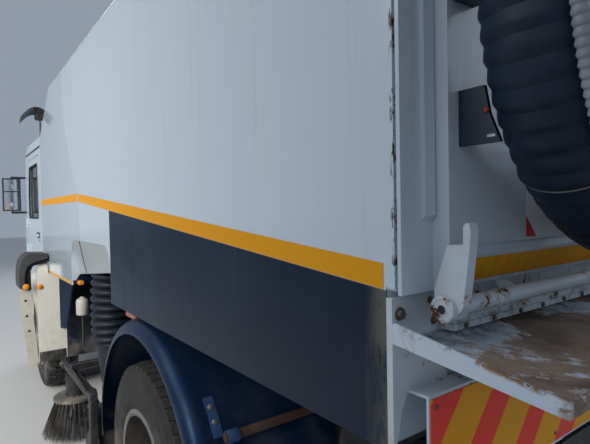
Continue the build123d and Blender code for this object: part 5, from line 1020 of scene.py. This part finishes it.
def add_cab_trim():
    """Screen and rear window beads, wipers, mirror glass, roof gutters and the beacon's dome."""
    look = rubber("screen_bead", SOFT_BLACK, 0.6, 0.3)
    trim = moulded("wiper_black", SOFT_BLACK, 0.4, 0.2)
    form = Form()
    screen = ((-1.005, 1.648), (1.005, 1.648), (1.005, 2.392), (-1.005, 2.392))
    bead(form, [on_screen(0.002, y, z) for y, z in screen], 0.011, 0.05, 6)
    rear = ((-0.42, 1.85), (0.42, 1.85), (0.42, 2.30), (-0.42, 2.30))
    bead(form, [(CAB_REAR - 0.001, y, z) for y, z in rear], 0.009, 0.04)
    for foot_y, tip_y in ((0.55, -0.28), (-0.35, -0.93)):
        foot = on_screen(0.022, foot_y, 1.60)
        middle = on_screen(0.035, (foot_y + tip_y) / 2, 1.80)
        form.tube([foot, middle, on_screen(0.024, tip_y, 2.0)], [0.011, 0.008, 0.006], 8, 1)
        form.tube([on_screen(0.012, tip_y + 0.06, 1.70), on_screen(0.012, tip_y - 0.03, 2.28)], 0.007, 6, 1)
        form.lathe([(0.024, 0.0), (0.024, 0.018), (0.016, 0.028), (0.0, 0.028)],
                   facing((foot[0] - 0.020, foot[1], foot[2]), (1, 0, 0.2)), 20, 1)
    for side in (1, -1):
        y0, y1 = sorted((side * (CAB_SIDE - 0.004), side * (CAB_SIDE + 0.010)))
        form.block((CAB_REAR + 0.03, y0, 2.505), (CAB_FRONT - 0.30, y1, 2.518), 0.003, 1)
    make("cab_trim", form, [look, trim], "cab")
    panes = Form()
    mirror_x = CAB_FRONT - 0.13 - 0.0512
    for side in (1, -1):
        y0, y1 = sorted((side * 1.222, side * 1.388))
        for low, high in ((1.866, 2.08), (2.094, 2.234)):
            panes.block((mirror_x, y0, low), (mirror_x + 0.0012, y1, high), 0.0005)
    make("mirror_panes", panes, metal("mirror_silver", (0.62, 0.66, 0.70), 0.04, 0.0), "cab")
    dome = Form()
    ribs = [(0.0634 if index % 2 else 0.0626, 0.008 + 0.0105 * index) for index in range(9)]
    dome.lathe([(0.0628, 0.0)] + ribs + [(0.060, 0.100), (0.048, 0.108), (0.0, 0.1105)],
               Matrix.Translation((CAB_FRONT - 0.90, 0, 2.65)), 40)
    make("beacon_dome", dome, lens("beacon_amber", (0.85, 0.27, 0.01)), "cab")


def add_nose_details():
    """Mesh behind the grille's slats, and the headlamps' reflectors and indicators."""
    mesh = Form()
    face = CAB_FRONT + 0.0395
    for index in range(41):
        y = -0.60 + 0.03 * index
        mesh.block((face - 0.030, y - 0.002, 1.118), (face - 0.024, y + 0.002, 1.462), 0.0008)
    make("grille_mesh", mesh, rough_black("grille_wire"), "cab")
    lamps = Form()
    front = XB + 6.255 - 0.0388
    radius = 0.062
    reflector = [(radius, 0.0), (radius, 0.0022), (radius - 0.006, 0.003), (radius - 0.010, 0.0015),
                 (0.030, 0.0006), (0.022, 0.0026), (0.0, 0.0034)]
    for side in (1, -1):
        for y in (0.742, 0.892):
            lamps.lathe(reflector, facing((front - 0.0006, side * y, 0.64), AHEAD), 40)
        y0, y1 = sorted((side * 0.965, side * 0.992))
        lamps.block((front - 0.0006, y0, 0.575), (front + 0.0022, y1, 0.705), 0.001, 1)
    looks = [metal("reflector", (0.75, 0.77, 0.79), 0.12, 0.0), lens("indicator_amber", AMBER)]
    make("lamp_faces", lamps, looks, "chassis")


# Marker lamps, mud panels and what hangs below the body

def lamp_button(form, spot, radius):
    """A round marker lamp with its rim, facing back."""
    profile = [(radius * 1.18, 0.0), (radius * 1.18, 0.006), (radius, 0.008), (radius * 0.92, 0.013),
               (radius * 0.6, 0.0165), (0.0, 0.018)]
    form.lathe(profile, facing(spot, BACK), 28)


def add_markers():
    """Amber and red lamps under the body and on the front mud panels, and those panels' rubber lips."""
    form = Form()
    panel = XB + 4.205
    lamp_button(form, (panel, 1.279, 1.134), 0.021)
    form.block((XB + 3.11, 1.125, 1.266), (XB + 3.172, 1.168, 1.298), 0.006)
    lamp_button(form, (panel - 0.055, 1.397, 1.152), 0.023)
    make("amber_markers", form.mirrored(), lens("marker_amber", (0.85, 0.30, 0.012)), "chassis")
    red = Form()
    red.block((XB + 1.78, 1.130, 1.235), (XB + 1.95, 1.168, 1.282), 0.005)
    make("red_markers", red.mirrored(), lens("marker_red", (0.40, 0.010, 0.012)), "hopper")
    lip = Form()
    lip.block((panel - 0.006, 1.075, 0.434), (panel, 1.298, 0.530), 0.003)
    for y in (1.10, 1.187, 1.275):
        lip.bolt((panel - 0.006, y, 0.512), BACK, 0.008)
    make("mud_panel_lips", lip.mirrored(), rubber("mud_lip", (0.02, 0.02, 0.021), 0.7, 0.8), "chassis")


def add_guard_stays():
    """Rusty cross tube that carries each rear guard, its blue clamp, and the strap bolted to the guard."""
    rust = rough_black("stay_rust", (0.055, 0.024, 0.015), 0.75, 0.4)
    blue = moulded("clamp_blue", (0.02, 0.06, 0.16), 0.4, 0.3)
    steel = metal("guard_bolt", (0.34, 0.32, 0.30), 0.5, 0.6)
    guard = 0.7462
    reach = guard + 0.0215

    def spot(degrees, radius, y):
        run, rise = polar(radius, math.radians(degrees))
        return (REAR_AXLE[0] - run, y, REAR_AXLE[1] + rise)

    form = Form()
    form.tube([spot(30.2, reach, 0.4005), spot(30.2, reach, 1.085)], 0.019, 20)
    clamp = [(0.0195, 0.0), (0.0255, 0.0), (0.027, 0.003), (0.027, 0.047), (0.0255, 0.050), (0.0195, 0.050)]
    form.lathe(clamp, facing(spot(30.2, reach + 0.006, 1.030), LEFT), 28, 1, closed=True)
    corners = [spot(31.0 + 12.5 * index / 8, radius, y)
               for index in range(9) for radius in (guard, guard + 0.004) for y in (1.080, 1.122)]
    faces = [(0, 1, 3, 2), (32, 33, 35, 34)]
    for a in range(0, 32, 4):
        faces += [(a + i, a + j, a + j + 4, a + i + 4) for i, j in ((0, 1), (2, 3), (0, 2), (1, 3))]
    form.put(corners, faces, None, 1)
    for degrees in (35.6, 40.3):
        run, rise = polar(1.0, math.radians(degrees))
        form.bolt(spot(degrees, guard + 0.004, 1.102), (-run, 0, rise), 0.011, 2)
    make("guard_stays", form.mirrored(), [rust, blue, steel], "chassis")


HOOD_ROWS = 9
HOOD_COLUMNS = 13


def add_cab_pole():
    """Thin pole at the cab's rear edge carrying a dark hood above the roof's edge."""
    x = XB + 4.63
    y = CAB_SIDE + 0.022
    form = Form()
    form.tube([(x, y, 1.42), (x, y, 2.72), (x, y + 0.03, 2.82), (x - 0.01, y + 0.05, 2.86)], 0.0075, 10)
    for z in (1.48, 1.95, 2.42):
        form.block((x - 0.016, CAB_SIDE - 0.001, z), (x + 0.016, y + 0.004, z + 0.03), 0.003)
    corners = []
    for lean in [row / (HOOD_ROWS - 1) for row in range(HOOD_ROWS)]:
        for t in [column / (HOOD_COLUMNS - 1) for column in range(HOOD_COLUMNS)]:
            rise = math.sin(math.pi * (0.15 + 0.75 * t))
            droop = 0.06 * lean - 0.10 * lean * lean - 0.05 * t
            corners.append((x - 0.06 + 0.20 * lean, y - 0.05 + 0.215 * t, 2.775 + 0.105 * rise + droop))
    faces = [(a, a + 1, a + HOOD_COLUMNS + 1, a + HOOD_COLUMNS) for row in range(HOOD_ROWS - 1)
             for a in range(row * HOOD_COLUMNS, (row + 1) * HOOD_COLUMNS - 1)]
    count = len(corners)
    corners += [(cx, cy, cz - 0.006) for cx, cy, cz in corners]
    faces += [tuple(count + index for index in reversed(face)) for face in faces]
    # The sheet's edge: the first row and the last column, then the last row and the first column back.
    last = count - HOOD_COLUMNS
    edge = [*range(HOOD_COLUMNS), *range(2 * HOOD_COLUMNS - 1, count, HOOD_COLUMNS),
            *range(count - 2, last - 1, -1), *range(last - HOOD_COLUMNS, 0, -HOOD_COLUMNS)]
    faces += [(a, b, count + b, count + a) for a, b in zip(edge, edge[1:] + edge[:1])]
    form.put(corners, faces)
    form.tube([(x, y - 0.04, 2.80), (x, y - 0.060, 2.88), (x, y - 0.080, 2.96)], 0.006, 8)
    form.block((x - 0.03, y - 0.045, 2.74), (x + 0.05, y + 0.045, 2.82), 0.012)
    make("cab_pole", form, moulded("hood_black", (0.022, 0.022, 0.023), 0.4, 0.3), "cab")


def add_recess_hoods():
    """Sloping sheet under the edge of each hose niche, in the hopper and on in the canopy."""
    top = (HALF - 0.001, 1.6085)
    rear_foot = (1.192, 1.462)
    front_foot = (1.143, 1.346)
    sheet = 0.004
    # Columns of each outline: place along the sheet in metres, and share of the way down it.
    rounded = [(0.0, 1.0), (0.0, 0.50), (0.012, 0.30), (0.045, 0.12), (0.095, 0.02), (0.14, 0.0)]
    square = [(0.0, 1.0), (0.0, 0.0)]
    for name, start, end, body, corner in (("hopper_hoods", 2.112, 2.885, "hopper", rounded),
                                           ("canopy_hoods", 2.925, 3.176, "chassis", square)):
        form = Form()
        outline = [(XB + start + run, share) for run, share in corner] + [(XB + end, 0.0), (XB + end, 1.0)]
        outer = []
        for x, share in outline:
            ahead = (x - XB - 2.112) / (3.176 - 2.112)
            foot = [rear_foot[i] + ahead * (front_foot[i] - rear_foot[i]) for i in (0, 1)]
            outer.append((x, *[top[i] + share * (foot[i] - top[i]) for i in (0, 1)]))
        inner = [(x, y - sheet, z) for x, y, z in outer]
        form.slab(outer, inner)
        form.tube([inner[0], inner[-1]], 0.005, 8)
        # The hoods are white sheet; their grey is painted shade under the niche's edge.
        make(name, form.mirrored(), paint(name, (0.34, 0.37, 0.39), 0.3, 0.2, 0.8, 0.3), body)


def add_arch_flares():
    """Black moulded flare over each front mud panel, its dark inner lip, and the pale flap under it."""
    band = [(1.215, 1.398), (1.218, 1.440), (1.350, 1.450), (1.398, 1.428), (1.428, 1.382), (1.443, 1.310),
            (1.448, 1.200), (1.444, 1.140), (1.404, 1.140), (1.406, 1.200), (1.398, 1.290), (1.378, 1.335),
            (1.345, 1.362)]
    lip = [(1.215, 1.352), (1.215, 1.398), (1.345, 1.362), (1.378, 1.335), (1.398, 1.290), (1.406, 1.200),
           (1.404, 1.120), (1.352, 1.120), (1.352, 1.290), (1.330, 1.335)]
    flap = [(1.303, 0.430), (1.378, 0.370), (1.400, 0.560), (1.422, 0.760), (1.440, 1.000), (1.442, 1.150),
            (1.352, 1.150), (1.352, 1.000), (1.330, 0.760), (1.314, 0.560)]
    form = Form()
    rear = across(XB + 4.150)
    form.plate(band, rear, 0.30)
    form.plate(lip, Matrix.Translation((0.028, 0, 0)) @ rear, 0.26, 2)
    form.plate(flap, Matrix.Translation((0.062, 0, 0)) @ rear, 0.006, 1)
    for y, z in ((1.398, 1.02), (1.392, 0.88), (1.376, 0.74)):
        form.bolt((XB + 4.212, y, z), BACK, 0.010, 2)
    # The flap's warm cream is painted sunlight, the sun on the flap beside the front tyre.
    looks = [moulded("flare_grain", (0.035, 0.035, 0.036), 0.5, 0.9),
             paint("flap_sunlit_cream", (0.60, 0.57, 0.50), 0.5, 0.05, 0.9, 0.7, 1.4),
             rubber("flare_lip", (0.008, 0.008, 0.009))]
    make("arch_flares", form.mirrored(), looks, "chassis", angle=30.0)


def add_nozzle_frames():
    """Black box-section frame from the rail out past each suction hose and down to its nozzle."""
    black = rough_black("nozzle_frame", dust=0.2)
    steel = metal("frame_bolt", (0.20, 0.17, 0.14), 0.6, 1.0)
    inner = 1.192
    outer = 1.242
    form = Form()
    form.block((XB + 2.520, inner, 0.300), (XB + 2.570, outer, 0.590), 0.004)
    form.block((XB + 2.520, inner, 0.590), (XB + 3.420, outer, 0.640), 0.004)
    form.block((XB + 3.080, 0.412, 0.641), (XB + 3.130, outer, 0.690), 0.004)
    form.block((XB + 3.060, 0.4005, 0.600), (XB + 3.150, 0.412, 0.740), 0.003)
    web = [(2.570, 0.590), (2.570, 0.470), (2.582, 0.470), (2.700, 0.578), (2.700, 0.590)]
    form.plate(web, lengthwise(inner + 0.021), 0.008)
    form.block((XB + 2.505, inner - 0.001, 0.262), (XB + 2.585, inner + 0.009, 0.345), 0.003)
    form.lathe([(0.012, 0.0), (0.034, 0.0), (0.036, 0.003), (0.036, 0.059), (0.034, 0.062), (0.012, 0.062)],
               facing((XB + 3.420, inner - 0.006, 0.612), LEFT), 28, closed=True)
    form.bolt((XB + 3.420, inner + 0.056, 0.612), LEFT, 0.017, 1)
    for x, z in ((2.545, 0.560), (2.545, 0.325), (2.66, 0.615), (3.105, 0.615), (3.30, 0.615)):
        form.bolt((XB + x, outer, z), LEFT, 0.010, 1)
    line = [(XB + 2.60, outer + 0.006, 0.652), (XB + 3.05, outer - 0.006, 0.655),
            (XB + 3.36, outer - 0.01, 0.655)]
    form.tube(line, 0.007, 8)
    make("nozzle_frames", form.mirrored(), [black, steel], "chassis")


def add_side_gear():
    """Dark skirt and lines under the canopy, and the small white tank."""
    navy = rubber("skirt_navy_and_shade", NAVY, 0.8, 0.1, 0.1)
    pale = moulded("small_tank", (0.38, 0.37, 0.34), 0.45)
    black = rough_black("gear_black")
    form = Form()
    skirt = [(4.45, 1.262), (3.50, 1.262), (3.60, 1.180), (3.86, 0.80), (4.02, 0.76), (4.24, 0.72),
             (4.45, 0.90)]
    tank = [(0.0, 0.098), (0.018, 0.098), (0.020, 0.088), (0.036, 0.084), (0.047, 0.072), (0.050, 0.054),
            (0.050, -0.042), (0.045, -0.054), (0.0, -0.056)]
    # The skirt's navy is partly a dark plate, partly painted shade under the canopy.
    form.plate(skirt, lengthwise(1.112), 0.006)
    form.tube([(XB + 3.51, 1.119, 1.25), (XB + 3.61, 1.119, 1.18), (XB + 3.87, 1.119, 0.80)], 0.007, 8)
    form.lathe(tank, Matrix.Translation((XB + 3.60, 1.045, 1.000)), 28, 2)
    form.tube([(XB + 3.60, 1.045, 0.95), (XB + 3.60, 1.045, 0.66)], 0.009, 10, 1)
    form.block((XB + 3.57, 0.41, 0.93), (XB + 3.63, 1.045, 0.945), 0.003, 1)
    make("side_gear", form.mirrored(), [navy, black, pale], "chassis")


def add_spiral_hose():
    """Grey spiral water hose from its tap on the door, strapped along the stowed hose to its end."""
    reach = 0.1325
    slant = math.radians(45)
    tap = (XB - 0.086, 1.10, 2.56)
    path = [Vector(tap), Vector((XB - 0.15, 1.12, 2.56)), Vector((XB - 0.25, 1.165, 2.54)),
            Vector((XB - 0.325, 1.185, 2.46))]
    centre = Vector((0, 0.619, 2.220))
    spine = [point for point in wander_path() if point.z < 2.40 or point.y < 0.3]
    for before, point, after in zip(spine, spine[1:], spine[2:]):
        ahead = (after - before).normalized()
        out = Vector((0, -ahead.z, ahead.y))
        away = point - centre
        if out.y * away.y + out.z * away.z < 0:
            out = -out
        path.append(point + out * (reach * math.cos(slant)) + Vector((-reach * math.sin(slant), 0, 0)))
    form = ribbed(along(path, 0.02), 0.016, 0.0125, 0.0155, 16)
    form.lathe([(0.026, 0.0), (0.026, 0.010), (0.019, 0.013), (0.019, 0.028), (0.0, 0.028)],
               facing(tap, BACK), 24, 1)
    form.lathe([(0.0, 0.0), (0.018, 0.0), (0.018, 0.022), (0.013, 0.026), (0.012, 0.060), (0.0, 0.060)],
               facing(path[-1], UP), 24, 1)
    make("spiral_hose", form, [moulded("spiral_grey", (0.22, 0.24, 0.26), 0.4, 0.2),
                               metal("tap_brass", (0.55, 0.42, 0.18), 0.35, 0.3)], "rear_door")


def add_door_hinges():
    """Pin heads and grease nipples of the rear door's three hinges."""
    form = Form()
    for y in (-0.8, 0.0, 0.8):
        for side in (1, -1):
            form.bolt((XB - 0.045, y + side * 0.0575, 2.935), (0, side, 0), 0.011)
        form.lathe([(0.0045, 0.0), (0.0045, 0.006), (0.003, 0.008), (0.0, 0.010)],
                   facing((XB - 0.045, y, 2.948), UP), 12)
    make("hinge_bolts", form, metal("hinge_steel", (0.30, 0.28, 0.26), 0.5, 0.8), "hopper")


def add_chassis_runs():
    """Air and electric lines clipped along the rails."""
    line = moulded("line_black", SOFT_BLACK, 0.5)
    blue = moulded("line_blue", (0.015, 0.04, 0.12), 0.45)
    form = Form()
    for z, number in ((0.875, 0), (0.850, 1), (0.825, 0)):
        form.tube([(XB + 0.35, 0.380, z), (XB + 4.1, 0.380, z)], 0.0065, 8, number)
    for index in range(9):
        x = XB + 0.5 + 0.43 * index
        form.block((x, 0.3725, 0.815), (x + 0.018, 0.3925, 0.885))
    make("chassis_lines", form.mirrored(), [line, blue], "chassis")


for step in (add_tapes, add_tyres, add_wheel_details, add_side_brushes, add_wide_broom, add_wander_hose,
             add_suction_hoses, add_rear_bolts, add_door_trim, add_cab_trim, add_nose_details, add_markers,
             add_guard_stays, add_cab_pole, add_recess_hoods, add_arch_flares, add_nozzle_frames,
             add_side_gear, add_spiral_hose, add_door_hinges, add_chassis_runs):
    step()


# Camera at the photograph's place: it looks to the truck's right of straight ahead, with a slight roll.
EYE = Vector((XB - 0.681, 1.93, 1.80))
YAW = math.radians(-36.2)
PITCH = math.radians(-1.5)
ROLL = math.radians(1.1)
FOCAL_PIXELS = 471.6
FRAME_WIDTH = 590
SENSOR = 36.0


def add_camera():
    forward = Vector((math.cos(YAW) * math.cos(PITCH), math.sin(YAW) * math.cos(PITCH), math.sin(PITCH)))
    level = forward.cross(Vector(UP)).normalized()
    upright = level.cross(forward)
    right = level * math.cos(ROLL) - upright * math.sin(ROLL)
    up = level * math.sin(ROLL) + upright * math.cos(ROLL)
    data = bpy.data.cameras.new("camera")
    data.sensor_width = SENSOR
    data.lens = FOCAL_PIXELS / FRAME_WIDTH * SENSOR
    data.clip_start = 0.02
    camera = bpy.data.objects.new("camera", data)
    camera.matrix_world = Matrix([(right[i], up[i], -forward[i], EYE[i]) for i in range(3)] + [(0, 0, 0, 1)])
    bpy.context.collection.objects.link(camera)
    bpy.context.scene.camera = camera


def add_floor():
    mesh = bpy.data.meshes.new("floor")
    reach = 40.0
    corners = [(reach * sx, reach * sy, 0) for sx, sy in ROUND]
    mesh.from_pydata(corners, [], [(0, 1, 2, 3)])
    floor = bpy.data.objects.new("floor", mesh)
    bpy.context.collection.objects.link(floor)
    mesh.materials.append(Shade("floor_pale").set(colour=(0.62, 0.62, 0.61), rough=0.9))


def add_lamp(name, place, aim, size, power, tint=(1.0, 1.0, 1.0), spread=180.0):
    data = bpy.data.lights.new(name, "AREA")
    data.shape = "RECTANGLE"
    data.size, data.size_y = size
    data.energy = power
    data.color = tint
    data.spread = math.radians(spread)
    lamp = bpy.data.objects.new(name, data)
    lamp.location = place
    lamp.rotation_euler = (Vector(aim) - Vector(place)).to_track_quat("-Z", "Y").to_euler()
    bpy.context.collection.objects.link(lamp)


def add_light():
    add_lamp("key", (2.0, 10.0, 9.0), (1.0, 0, 1.2), (7.0, 7.0), 300.0)
    add_lamp("side", (-3.2, 6.6, 4.2), (1.9, 1.2, 1.0), (3.2, 3.2), 82.0, (1.0, 0.97, 0.90), 64.0)
    add_lamp("fill", (-10.0, -6.0, 6.0), (0, 0, 1.2), (8.0, 6.0), 120.0, (0.80, 0.90, 1.0))
    add_lamp("front", (11.0, -4.0, 8.0), (0, 0, 1.2), (7.0, 6.0), 320.0)
    world = bpy.data.worlds.new("sky")
    world.use_nodes = True
    back = world.node_tree.nodes["Background"]
    back.inputs["Color"].default_value = (0.70, 0.82, 1.0, 1.0)
    back.inputs["Strength"].default_value = 0.40
    bpy.context.scene.world = world


add_camera()
add_floor()
add_light()
bpy.context.scene.view_settings.view_transform = "Standard"
